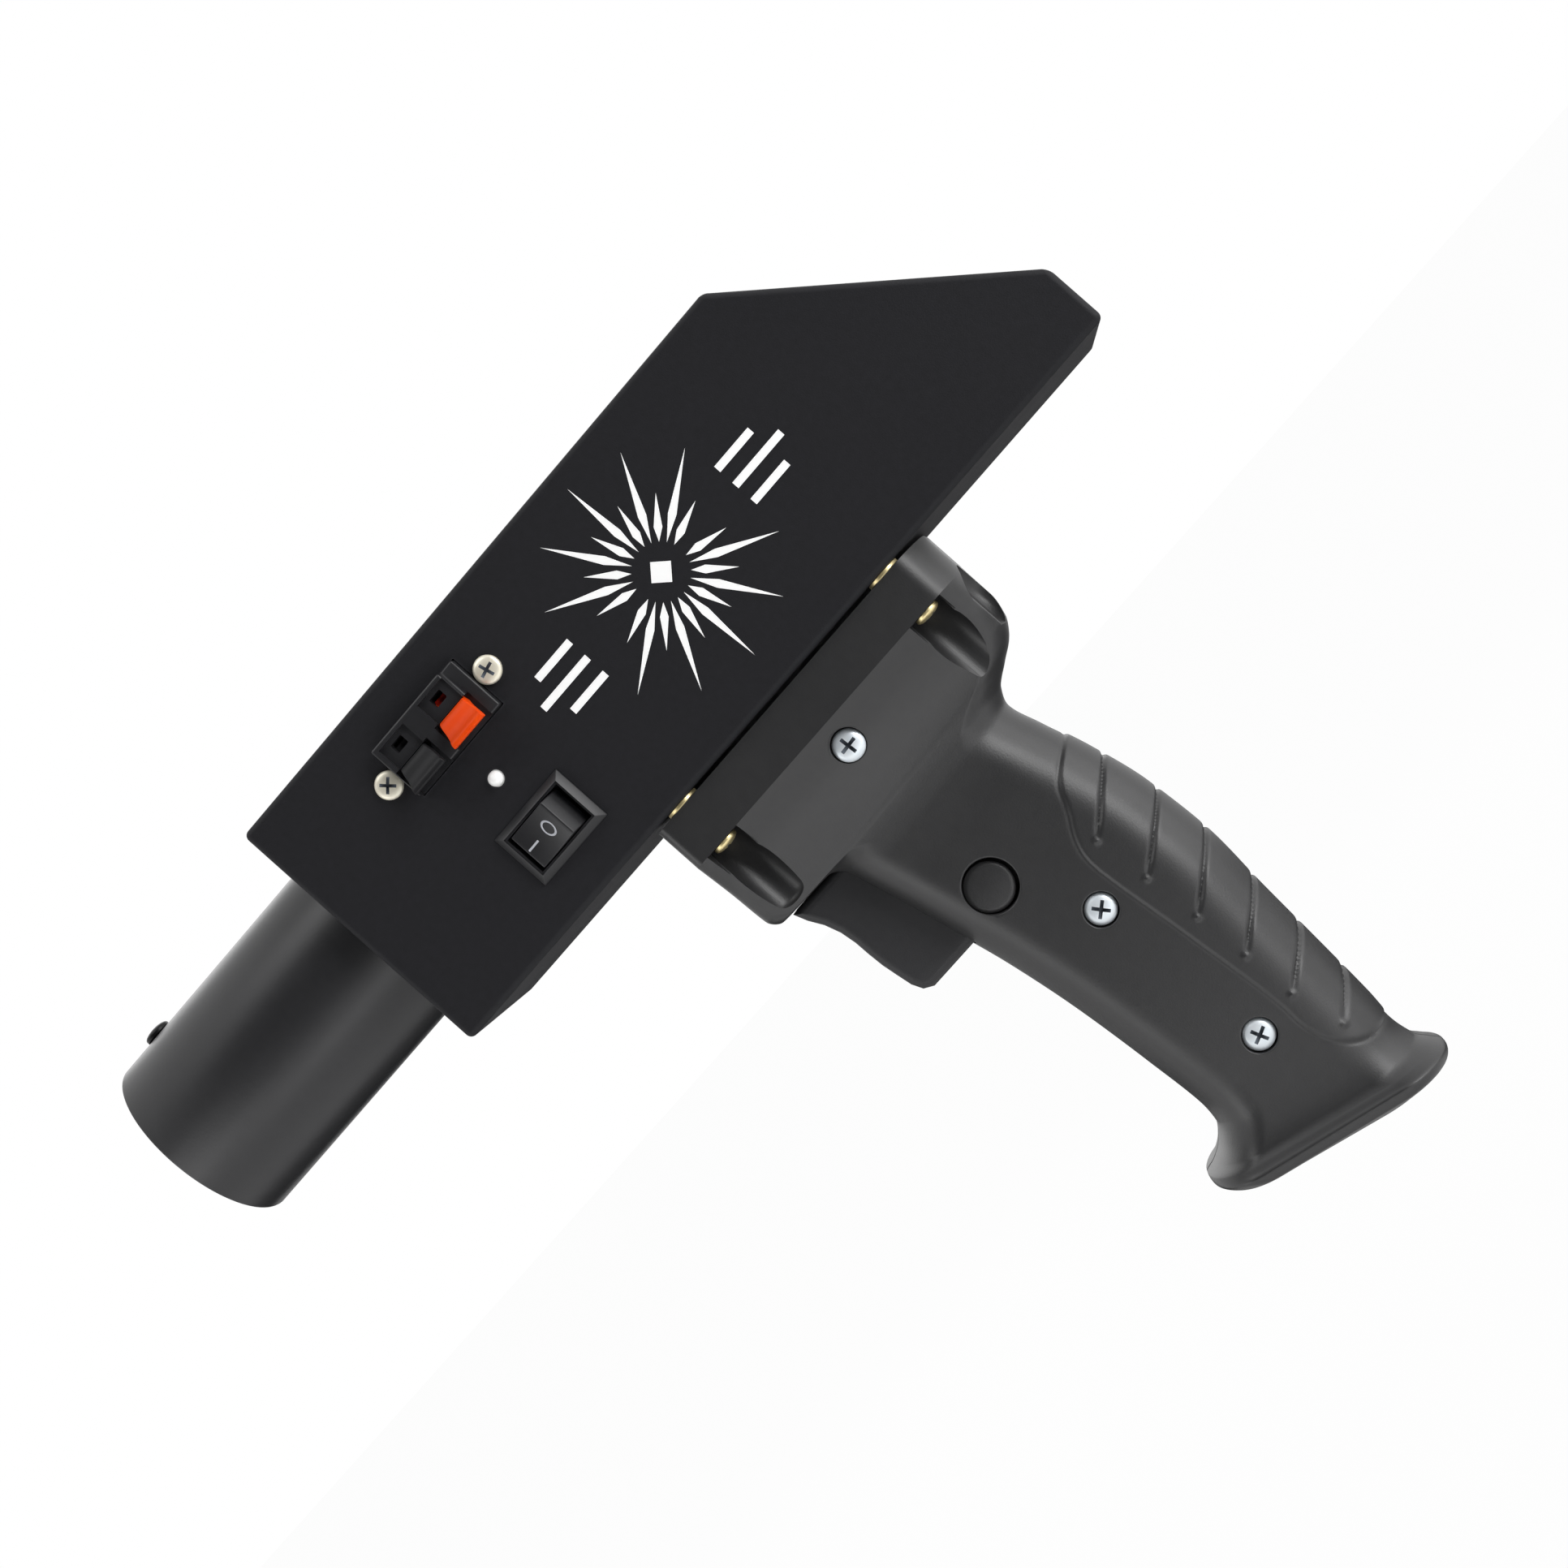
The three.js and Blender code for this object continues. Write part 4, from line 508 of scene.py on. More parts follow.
class Effect(Enum):
    """The shared surface effects, each a node group."""

    GRAIN = "surface_grain"
    WEAR = "edge_wear"
    TURNING = "turning_marks"
    SMUDGE = "handling_smudge"

    def group(self) -> bpy.types.NodeTree:
        """Returns the effect's node group, built at its first use."""
        found = bpy.data.node_groups.get(self.value)
        return found or getattr(self, f"_{self.name.lower()}")()

    def _grain(self) -> bpy.types.NodeTree:
        """Fine bumps of one size with a coarser swell under them."""
        wiring, given, made = new_group(self.value, {"Size": 0.4, "Swell": 0.3}, ["Height", "Tone"])
        place = given.outputs["Vector"]
        scale = wiring.math("DIVIDE", 1 / MM, given.outputs["Size"])
        fine = wiring.noise(place, scale, detail=2.0, roughness=0.55)
        coarse = wiring.noise(place, wiring.math("DIVIDE", scale, 5.0), detail=3.0)
        swell = wiring.math("MULTIPLY", coarse, given.outputs["Swell"])
        wiring.put(wiring.math("ADD", fine, swell), made.inputs["Height"])
        wiring.put(coarse, made.inputs["Tone"])
        return wiring.tree

    def _wear(self) -> bpy.types.NodeTree:
        """Marks the outer edges, broken up by noise: partly wear, partly a painted highlight along the bends."""
        wiring, given, made = new_group(self.value, {"Radius": 0.0008, "Amount": 1.0}, ["Mask"])
        rounded = wiring.feed(wiring.node("ShaderNodeBevel", samples=4), radius=given.outputs["Radius"])
        surface = wiring.node("ShaderNodeNewGeometry")
        dot = wiring.node("ShaderNodeVectorMath", operation="DOT_PRODUCT")
        wiring.put(rounded.outputs["Normal"], dot.inputs[0])
        wiring.put(surface.outputs["Normal"], dot.inputs[1])
        edge = wiring.math("SUBTRACT", 1.0, dot.outputs["Value"])
        broken = wiring.math("MULTIPLY", edge, wiring.noise(given.outputs["Vector"], 420.0, detail=4.0))
        strong = wiring.node("ShaderNodeMath", operation="MULTIPLY", use_clamp=True)
        wiring.put(broken, strong.inputs[0])
        wiring.put(wiring.math("MULTIPLY", given.outputs["Amount"], 6.0), strong.inputs[1])
        wiring.put(strong.outputs[0], made.inputs["Mask"])
        return wiring.tree

    def _turning(self) -> bpy.types.NodeTree:
        """Fine rings round the barrel's axis and along its length."""
        wiring, given, made = new_group(self.value, {"Pitch": 0.25}, ["Height"])
        apart = wiring.node("ShaderNodeSeparateXYZ")
        wiring.put(given.outputs["Vector"], apart.inputs[0])
        squared = [wiring.math("POWER", apart.outputs[axis], 2.0) for axis in ("Y", "Z")]
        radius = wiring.math("SQRT", wiring.math("ADD", squared[0], squared[1]))
        along = wiring.math("ADD", radius, apart.outputs["X"])
        rings = wiring.node("ShaderNodeTexNoise", noise_dimensions="1D")
        wiring.feed(rings, w=along, scale=wiring.math("DIVIDE", 1 / MM, given.outputs["Pitch"]), detail=2.0)
        wiring.put(rings.outputs["Fac"], made.inputs["Height"])
        return wiring.tree

    def _smudge(self) -> bpy.types.NodeTree:
        """Broad soft patches where hands have changed the gloss."""
        wiring, given, made = new_group(self.value, {"Size": 30.0}, ["Mask"])
        scale = wiring.math("DIVIDE", 1 / MM, given.outputs["Size"])
        wiring.put(wiring.noise(given.outputs["Vector"], scale, detail=5.0, roughness=0.6), made.inputs["Mask"])
        return wiring.tree


@dataclass(frozen=True)
class Finish:
    """One finish: its colours, gloss and the effects on its surface."""

    name: str
    colour: str
    second: str
    roughness: float
    spread: float = 0.1
    metallic: float = 0.0
    grain: float = 0.4
    depth: float = 0.1
    swell: float = 0.3
    wear: float = 0.0
    turning: float = 0.0
    coat: float = 0.0
    # A painted glow: emission that brightens a surface which gives no light of its own.
    glow: float = 0.0
    specular: float = 0.5
    # The lighter edge colour, partly wear and partly a painted highlight.
    worn_and_lit: str = "8a8a90"

    def material(self) -> bpy.types.Material:
        """Returns the finish's material, built at its first use."""
        found = bpy.data.materials.get(self.name)
        return found or self._build()

    def _build(self) -> bpy.types.Material:
        """Wires the colour, gloss and bumps of the finish."""
        made = bpy.data.materials.new(self.name)
        wiring = bare_wiring(made)
        place = wiring.node("ShaderNodeTexCoord").outputs["Object"]
        shader = wiring.node("ShaderNodeBsdfPrincipled")
        wiring.surface(shader)
        grain = self._effect(wiring, Effect.GRAIN, place, size=self.grain, swell=self.swell)
        smudge = self._effect(wiring, Effect.SMUDGE, place)
        tone = self._mixed(wiring, grain.outputs["Tone"], linear(self.colour), linear(self.second))
        gloss = wiring.math("MULTIPLY", wiring.math("SUBTRACT", smudge.outputs["Mask"], 0.5), self.spread * 2)
        gloss = wiring.math("ADD", gloss, self.roughness)
        # Lighter outer edges: partly wear, partly a painted highlight along the bends.
        if self.wear:
            worn_and_lit = self._effect(wiring, Effect.WEAR, place, amount=self.wear)
            light = self._mixed(wiring, 0.5, linear(self.second), linear(self.worn_and_lit))
            tone = self._mixed(wiring, worn_and_lit.outputs["Mask"], tone, light)
        height = grain.outputs["Height"]
        if self.turning:
            marks = self._effect(wiring, Effect.TURNING, place, pitch=self.turning)
            height = wiring.math("ADD", marks.outputs["Height"], wiring.math("MULTIPLY", height, 0.3))
        bump = wiring.feed(wiring.node("ShaderNodeBump"), strength=1.0, distance=self.depth * MM, height=height)
        wiring.feed(
            shader,
            base_color=tone,
            roughness=gloss,
            metallic=self.metallic,
            normal=bump.outputs["Normal"],
            specular_ior_level=self.specular,
            coat_weight=self.coat,
            coat_roughness=0.15,
        )
        # Painted glow: the emission brightens the surface, it is not a light.
        if self.glow:
            wiring.feed(shader, emission_color=linear(self.colour), emission_strength=self.glow)
        return made

    @staticmethod
    def _effect(wiring: Wiring, effect: Effect, place: object, **values: float) -> bpy.types.Node:
        """Places a shared effect with its own values."""
        node = wiring.node("ShaderNodeGroup", node_tree=effect.group())
        return wiring.feed(node, vector=place, **values)

    @staticmethod
    def _mixed(wiring: Wiring, share: object, first: object, second: object) -> bpy.types.NodeSocket:
        """Mixes two colours by a share."""
        node = wiring.node("ShaderNodeMix", data_type="RGBA")
        for index, value in ((0, share), (6, first), (7, second)):
            wiring.put(value, node.inputs[index])
        return node.outputs[2]


# The body's and the tube's lighter edges are partly wear, partly a painted highlight.
POWDER_COAT = Finish(
    "black_powder_coat", "17171a", "1e1e22", 0.62, 0.06, grain=0.35, depth=0.05, wear=0.2, specular=0.26
)
SATIN_TUBE = Finish("satin_black_tube", "252527", "2c2c2e", 0.36, 0.06, grain=0.6, depth=0.012, wear=0.3, specular=0.45)
GRIP_NYLON = Finish("grey_black_nylon", "252526", "2c2c2d", 0.43, 0.05, grain=0.45, depth=0.03, swell=0.2, specular=0.6)
TRIGGER_NYLON = Finish("dark_nylon", "2a2a2c", "303032", 0.5, 0.08, grain=0.4, depth=0.03, specular=0.4)
SWITCH_BLACK = Finish("switch_black", "1d1d1f", "242427", 0.42, 0.06, grain=0.5, depth=0.012)
LEVER_RED = Finish("lever_orange_red", "ff4802", "ff560e", 0.45, 0.06, grain=0.5, depth=0.01, specular=0.2)
LEVER_BLACK = Finish("lever_black", "18181a", "1f1f21", 0.5, 0.06, grain=0.5, depth=0.012, specular=0.25)
GUIDE_RED = Finish("guide_dark_red", "a81c0c", "b8240f", 0.5, 0.06, grain=0.5, depth=0.01, specular=0.2)
# The lens's glow is painted brightness, not the lamp's own light.
LAMP_WHITE_PAINTED_GLOW = Finish("lamp_white_painted_glow", "f4f4f2", "ffffff", 0.2, 0.02, grain=1.0, depth=0.002, coat=0.6, glow=0.3)
NICKEL = Finish("bright_nickel", "fffae9", "f4edd6", 0.36, 0.08, 0.35, grain=0.3, depth=0.004)
ZINC = Finish("blue_zinc", "f7fcff", "e6f0f8", 0.4, 0.08, 0.3, grain=0.3, depth=0.005)
YELLOW_ZINC = Finish("yellow_zinc", "cfae5c", "b8944a", 0.3, 0.1, 1.0, grain=0.3, depth=0.005)
BLACK_OXIDE = Finish("black_oxide", "141414", "1e1e20", 0.38, 0.08, 0.6, grain=0.3, depth=0.004)
# Painted shade: a mid-dark grey for the faces inside a screw's recess.
PAINTED_RECESS_SHADE = Finish("painted_recess_shade", "4c535c", "646c76", 0.5, 0.05, 0.4, grain=0.3, depth=0.004)
TURNED_ALUMINIUM = Finish("turned_aluminium", "b4b6b8", "a2a4a6", 0.38, 0.08, 1.0, depth=0.006, turning=0.22)
# The white print has a painted glow that lifts it to full white.
PRINT_WHITE_PAINTED_GLOW = Finish("print_white_painted_glow", "fcfcfb", "ffffff", 0.6, 0.05, grain=0.35, depth=0.01, glow=0.22)
MARK_GREY = Finish("mark_grey", "c4c7d0", "d2d4da", 0.6, 0.05, grain=0.35, depth=0.01)
SPRING_STEEL = Finish("spring_steel", "a6a6aa", "8e8e92", 0.32, 0.06, 1.0, grain=0.2, depth=0.003)
STRIP_BRASS = Finish("strip_brass", "c9a54e", "b08c3c", 0.34, 0.08, 1.0, grain=0.3, depth=0.004)
BOARD_GREEN = Finish("board_green", "1d5631", "2a6e40", 0.45, 0.1, grain=2.5, depth=0.02, swell=1.0)
CELL_BLUE = Finish("cell_blue_wrap", "2a68a8", "3474b4", 0.32, 0.06, grain=1.2, depth=0.01, coat=0.3)
WIRE_RED = Finish("wire_red", "a81f18", "b82a20", 0.45, 0.06, grain=0.8, depth=0.01)


def dressed(piece: Piece, finish: Finish, body: str, slot: str, *nodes: str) -> Piece:
    """Gives a finished piece its material and its body, and hides the CAD nodes it stands for.

    Args:
        piece: the finished piece.
        finish: its finish.
        body: the CAD body it rides on.
        slot: the record's material slot; not used.
        nodes: CAD nodes that it replaces.

    Returns:
        The same piece.
    """
    places = [face.material_index for face in piece.data.polygons]
    piece.data.materials.clear()
    piece.data.materials.append(finish.material())
    # Faces marked inside a screw's recess get a second material, a painted shade.
    if any(places):
        piece.data.materials.append(PAINTED_RECESS_SHADE.material())
        piece.data.polygons.foreach_set("material_index", places)
    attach(piece, body)
    if nodes:
        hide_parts(*nodes)
    log.info("%s on %s: %d faces", piece.name, body, len(piece.data.polygons))
    return piece


# Screws


class Drive(Enum):
    """The recess in a screw's head."""

    CROSS = "cross"
    HEX = "hex"


@dataclass(frozen=True)
class Screw:
    """A screw in its own frame: the head's underside at the origin, the head up +Z.

    The cross recess is as deep as the smaller of two shares, of the head's radius and height.
    The hexagon socket has a share of the head's radius and one of its height.
    """

    head_radius: float
    head_height: float
    shank_radius: float
    length: float
    drive: Drive = Drive.CROSS
    flat: bool = False
    rim_share: float = 0.38
    shade_reach: float = 0.64
    arm_reach: float = 0.62
    arm_half: float = 0.11
    arm_corner: float = 1.9
    cross_depth: tuple[float, float] = (0.5, 0.8)
    socket: tuple[float, float] = (0.5, 0.6)

    def pattern(self) -> Piece:
        """Models the screw once, for copying."""
        profile = self._flat_profile() if self.flat else self._domed_profile()
        screw = spun("screw_pattern", profile, Axis.Z, ORIGIN, 40)
        top = 0.0 if self.flat else self.head_height
        tools = self._cross(top) if self.drive is Drive.CROSS else self._hex(top)
        return self._shaded(smooth(worked(screw, Cut.AWAY, *tools), 40), top)

    def _shaded(self, screw: Piece, top: float) -> Piece:
        """Marks the faces inside the recess for the painted recess shade, a mid-dark grey that stands in for shade
        between bright edges.
        """
        reach = self.head_radius * self.shade_reach
        for _ in range(2):
            screw.data.materials.append(None)
        for face in screw.data.polygons:
            x, y, z = face.center / MM
            away = math.hypot(x, y)
            rise = math.sqrt(1 - min(away / self.head_radius, 1.0) ** 2)
            skin = 0.0 if self.flat else self.head_height * (self.rim_share + (1 - self.rim_share) * rise)
            face.material_index = int(away < reach and 0.06 < skin - z < top + 1.5)
        return screw

    def _shank(self, top: float) -> list[tuple[float, float]]:
        """The shank's profile up to the head."""
        return [(0, -self.length), (self.shank_radius, -self.length), (self.shank_radius, top)]

    def _domed_profile(self) -> list[tuple[float, float]]:
        """A pan head: short upright rim, then a low dome."""
        radius, rim = self.head_radius, self.head_height * self.rim_share
        edge = [(radius - 0.15, 0), (radius, 0.15), (radius, rim)]
        return [*self._shank(0), *edge, *dome(radius, rim, self.head_height, 8)]

    def _flat_profile(self) -> list[tuple[float, float]]:
        """A countersunk head, its face at the origin."""
        edge = self.head_radius - 0.05
        return [*self._shank(-self.head_height), (edge, -0.12), (edge, -0.04), (edge - 0.1, 0), (0, 0)]

    def _cross(self, top: float) -> list[Piece]:
        """The tapering cross recess, as cutters."""
        arm, half = self.head_radius * self.arm_reach, self.head_radius * self.arm_half
        depth = min(self.head_radius * self.cross_depth[0], self.head_height * self.cross_depth[1])
        outline = [(-arm, top + 1), (-arm, top - 0.1), (-half, top - depth), (half, top - depth)]
        outline += [(arm, top - 0.1), (arm, top + 1)]
        arms = [plate("arm", outline, axis, -half, half) for axis in (Axis.Y, Axis.X)]
        corner = half * self.arm_corner
        square = [(-corner, 0), (0, -corner), (corner, 0), (0, corner)]
        return [*arms, plate("corner", square, Axis.Z, top - depth * 0.6, top + 1)]

    def _hex(self, top: float) -> list[Piece]:
        """The hexagon socket, as a cutter."""
        radius, depth = self.head_radius * self.socket[0], self.head_height * self.socket[1]
        return [drum("socket", radius, Axis.Z, ORIGIN, top - depth, top + 1, 6)]


@dataclass(frozen=True)
class ScrewSet:
    """Screws of one kind at several places."""

    screw: Screw
    finish: Finish
    slot: str
    facing: Matrix
    places: tuple[tuple[str, tuple[float, float, float], float], ...]

    def build(self) -> None:
        """Copies the pattern to each place, turned in its hole by the degrees listed last."""
        pattern = self.screw.pattern()
        for node, place, turn in self.places:
            spin = Matrix.Rotation(math.radians(turn), 4, "Z")
            matrix = Matrix.Translation(Vector(place) * MM) @ self.facing @ spin
            dressed(copied(pattern, f"{node}_fine", matrix), self.finish, "body", self.slot, node)
        discard(pattern)


TO_CONTROLS = Matrix.Rotation(math.pi / 2, 4, "X")
TO_COVER = Matrix.Rotation(-math.pi / 2, 4, "X")
TO_MUZZLE = Matrix.Rotation(-math.pi / 2, 4, "Y")
DOWNWARDS = Matrix.Rotation(math.pi, 4, "X")
UPWARDS = Matrix.Identity(4)
MOUNT_SPOTS = ("front_left", "front_right", "rear_left", "rear_right")


# Body and barrel


@dataclass(frozen=True)
class Body:
    """The folded tray and the flat cover that closes it.

    A control hole is given by its height, half its length and half its height, the lamp's by its
    height and radius, the wires' by its run and radius.
    """

    length: float = 208.0
    half_height: float = 34.0
    half_width: float = 30.0
    slope_start: float = 156.3
    rear_top: float = -18.5
    sheet: float = 1.5
    bend: float = 1.6
    wire_hole: tuple[float, float] = (75.0, 6.0)
    tray_edge: float = 28.45
    barrel_hole: float = 24.2
    controls_x: float = 48.0
    control_holes: tuple[tuple[float, float, float], ...] = ((16.4, 13.6, 7.45), (-16.5, 9.65, 6.6))
    lamp_hole: tuple[float, float] = (-0.4, 1.95)
    cover_screws: tuple[tuple[str, float, float], ...] = (
        ("top_front", 16.0, 26.5),
        ("top_rear", 140.3, 26.5),
        ("bottom_front", 16.0, -26.5),
        ("bottom_middle", 104.0, -26.5),
        ("bottom_rear", 192.0, -26.5),
    )
    flange_screw: float = 21.5
    sink: float = 3.0
    screw_hole: float = 1.65

    def _solid(self, name: str, low: float, high: float) -> Piece:
        """The side view's block between two places across, with its slope cut."""
        piece = block(name, (0, low, -self.half_height), (self.length, high, self.half_height))
        normal = (self.half_height - self.rear_top, 0, self.length - self.slope_start)
        return sliced(piece, (self.slope_start, 0, self.half_height), normal)

    def tray(self) -> Piece:
        """Models the tray: rounded bends, sheet thickness and its openings."""
        piece = self._solid("body_shell_fine", -self.half_width, self.tray_edge)
        with editing(piece):
            bpy.ops.mesh.select_mode(type="FACE")
            mesh = bmesh.from_edit_mesh(piece.data)
            for face in mesh.faces:
                face.select_set(face.normal.y > 0.9)
            bmesh.update_edit_mesh(piece.data)
            bpy.ops.mesh.delete(type="FACE")
        face_outwards(piece)
        eased(piece, self.bend, 6)
        wall = piece.modifiers.new("wall", "SOLIDIFY")
        wall.thickness = self.sheet * MM
        wall.offset = -1
        wall.use_even_offset = True
        finish_modifier(piece, wall)
        return flat_faced(smooth(worked(piece, Cut.AWAY, *self._openings())))

    def _openings(self) -> list[Piece]:
        """The cutters for the barrel, the controls, the wires and the front screws."""
        x, front = self.controls_x, -self.half_width
        lamp_z, lamp_radius = self.lamp_hole
        wire_x, wire_radius = self.wire_hole
        tools = [drum("hole", self.barrel_hole, Axis.X, ORIGIN, -3, 3, 128)]
        for level, *half in self.control_holes:
            tools.append(side_block("hole", (x, level), half, front - 3, front + 3))
        tools.append(drum("hole", lamp_radius, Axis.Y, (x, front, lamp_z), -3, 3, 32))
        tools.append(drum("hole", wire_radius, Axis.Z, (wire_x, 0, -self.half_height), -3, 3, 48))
        return [*tools, *(self._countersink(Axis.X, (0, y, z), 1) for y, z in self._flange_spots())]

    def _flange_spots(self) -> list[tuple[float, float]]:
        """The places across and up of the four screws in the front wall."""
        reach = self.flange_screw
        return [(y, z) for y in (-reach, reach) for z in (-reach, reach)]

    def _countersink(self, axis: Axis, place: Place, inward: float) -> Piece:
        """A countersunk hole's cutter."""
        sink, hole = self.sink, self.screw_hole
        profile = [(0, -2), (sink, -2), (sink, GAP), (hole, self.sheet), (hole, 3), (0, 3)]
        return spun("hole", [(r, inward * p) for r, p in profile], axis, place, 40)

    def cover(self) -> Piece:
        """Models the cover with its rounded corners and countersunk holes."""
        piece = self._solid("side_cover_fine", self.half_width - self.sheet, self.half_width)
        round_edges(piece, lambda a, b: abs(a.y - b.y) > 1 and abs(a.x - b.x) + abs(a.z - b.z) < 0.01, self.bend, 6)
        tools = [self._countersink(Axis.Y, (x, self.half_width, z), -1) for _, x, z in self._cover_spots()]
        worked(piece, Cut.AWAY, *tools)
        return flat_faced(smooth(eased(piece, 0.25, 2, 50)))

    def _cover_spots(self) -> list[tuple[str, float, float]]:
        """Name, run and height of the cover's screws, the last in the middle of the slope's tab."""
        middle = Vector(((self.length + self.slope_start) / 2, (self.half_height + self.rear_top) / 2))
        inward = Vector((self.rear_top - self.half_height, self.slope_start - self.length)).normalized()
        place = middle + inward * (self.sheet + 6)
        return [*self.cover_screws, ("slope", place.x, place.y)]

    def build(self) -> None:
        """Builds the tray, the cover and their screws."""
        dressed(self.tray(), POWDER_COAT, "body", "powder_coat", "body_shell")
        dressed(self.cover(), POWDER_COAT, "body", "powder_coat", "side_cover")
        flat = Screw(2.8, 1.5, 1.45, 6, flat=True)
        cover = tuple(
            (f"cover_screw_{name}", (x, self.half_width - GAP, z), 20.0 * i)
            for i, (name, x, z) in enumerate(self._cover_spots())
        )
        ScrewSet(flat, BLACK_OXIDE, "black_screw", TO_COVER, cover).build()
        flange = tuple(
            (f"barrel_flange_screw_{i + 1}", (GAP, y, z), 33.0 * i) for i, (y, z) in enumerate(self._flange_spots())
        )
        ScrewSet(flat, BLACK_OXIDE, "black_screw", TO_MUZZLE, flange).build()


@dataclass(frozen=True)
class Barrel:
    """The tube on its flange, the cartridge sleeve inside it and the clamping screw."""

    outer: float = 24.0
    inner: float = 22.0
    reach: float = 70.0
    flange_front: float = 1.55
    flange_thickness: float = 3.0
    flange_half: float = 26.5
    lip: float = 0.5
    sleeve_outer: float = 21.7
    sleeve_ease: float = 0.3
    bore: float = 16.0
    waist: float = 18.5
    mouth: float = -66.0
    ring: float = 14.0
    chamfer: float = 1.5
    seat: float = 3.0
    screw_x: float = -58.7
    screw_hole: float = 2.1
    flange_corner: float = 4.0

    def tube(self) -> Piece:
        """Models the tube with its eased muzzle and its flange."""
        rear = self.flange_front + self.flange_thickness
        start, lip, ease = -self.reach, self.lip, self.lip * 0.3
        muzzle = [(self.inner, start + lip), (self.inner + ease, start + ease), (self.inner + lip, start)]
        muzzle += [(self.outer - lip, start), (self.outer - ease, start + ease), (self.outer, start + lip)]
        profile = [*muzzle, (self.outer, rear), (self.inner, rear), muzzle[0]]
        tube = spun("barrel_tube_fine", profile, Axis.X, ORIGIN, 144)
        half = self.flange_half
        flange = block("flange", (self.flange_front, -half, -half), (rear, half, half))
        round_edges(flange, lambda a, b: abs(a.x - b.x) > 1, self.flange_corner, 6)
        worked(flange, Cut.AWAY, drum("hole", self.outer - 0.5, Axis.X, ORIGIN, -5, 9, 144))
        worked(tube, Cut.JOIN, flange)
        hole = drum("hole", self.screw_hole, Axis.Z, (self.screw_x, 0, 0), 18, 28, 32)
        return smooth(worked(tube, Cut.AWAY, hole))

    def sleeve(self) -> Piece:
        """Models the sleeve: chamfered bore, two rings and a thinner waist."""
        outer, bore, mouth, ease = self.sleeve_outer, self.bore, self.mouth, self.sleeve_ease
        front_ring, rear_ring = mouth + self.ring, self.seat - self.ring / 2
        profile = [(0, 0), (bore, 0), (bore, mouth + self.chamfer), (bore + self.chamfer, mouth)]
        profile += [(outer - ease, mouth), (outer, mouth + ease), (outer, front_ring), (self.waist, front_ring)]
        profile += [(self.waist, rear_ring), (outer, rear_ring), (outer, self.seat), (0, self.seat)]
        sleeve = spun("cartridge_sleeve_fine", profile, Axis.X, ORIGIN, 128)
        hole = drum("hole", self.screw_hole, Axis.Z, (self.screw_x, 0, 0), 12, 24, 32)
        return smooth(worked(sleeve, Cut.AWAY, hole))

    def build(self) -> None:
        """Builds the tube, the sleeve and the clamping screw."""
        dressed(self.tube(), SATIN_TUBE, "body", "barrel_black", "barrel_tube")
        dressed(self.sleeve(), TURNED_ALUMINIUM, "body", "sleeve_aluminium", "cartridge_sleeve")
        clamp = Screw(3.4, 1.9, 1.9, 7.8, drive=Drive.HEX)
        places = (("sleeve_screw", (self.screw_x, 0, self.outer + GAP), 15.0),)
        ScrewSet(clamp, BLACK_OXIDE, "black_screw", UPWARDS, places).build()


# Controls on the side


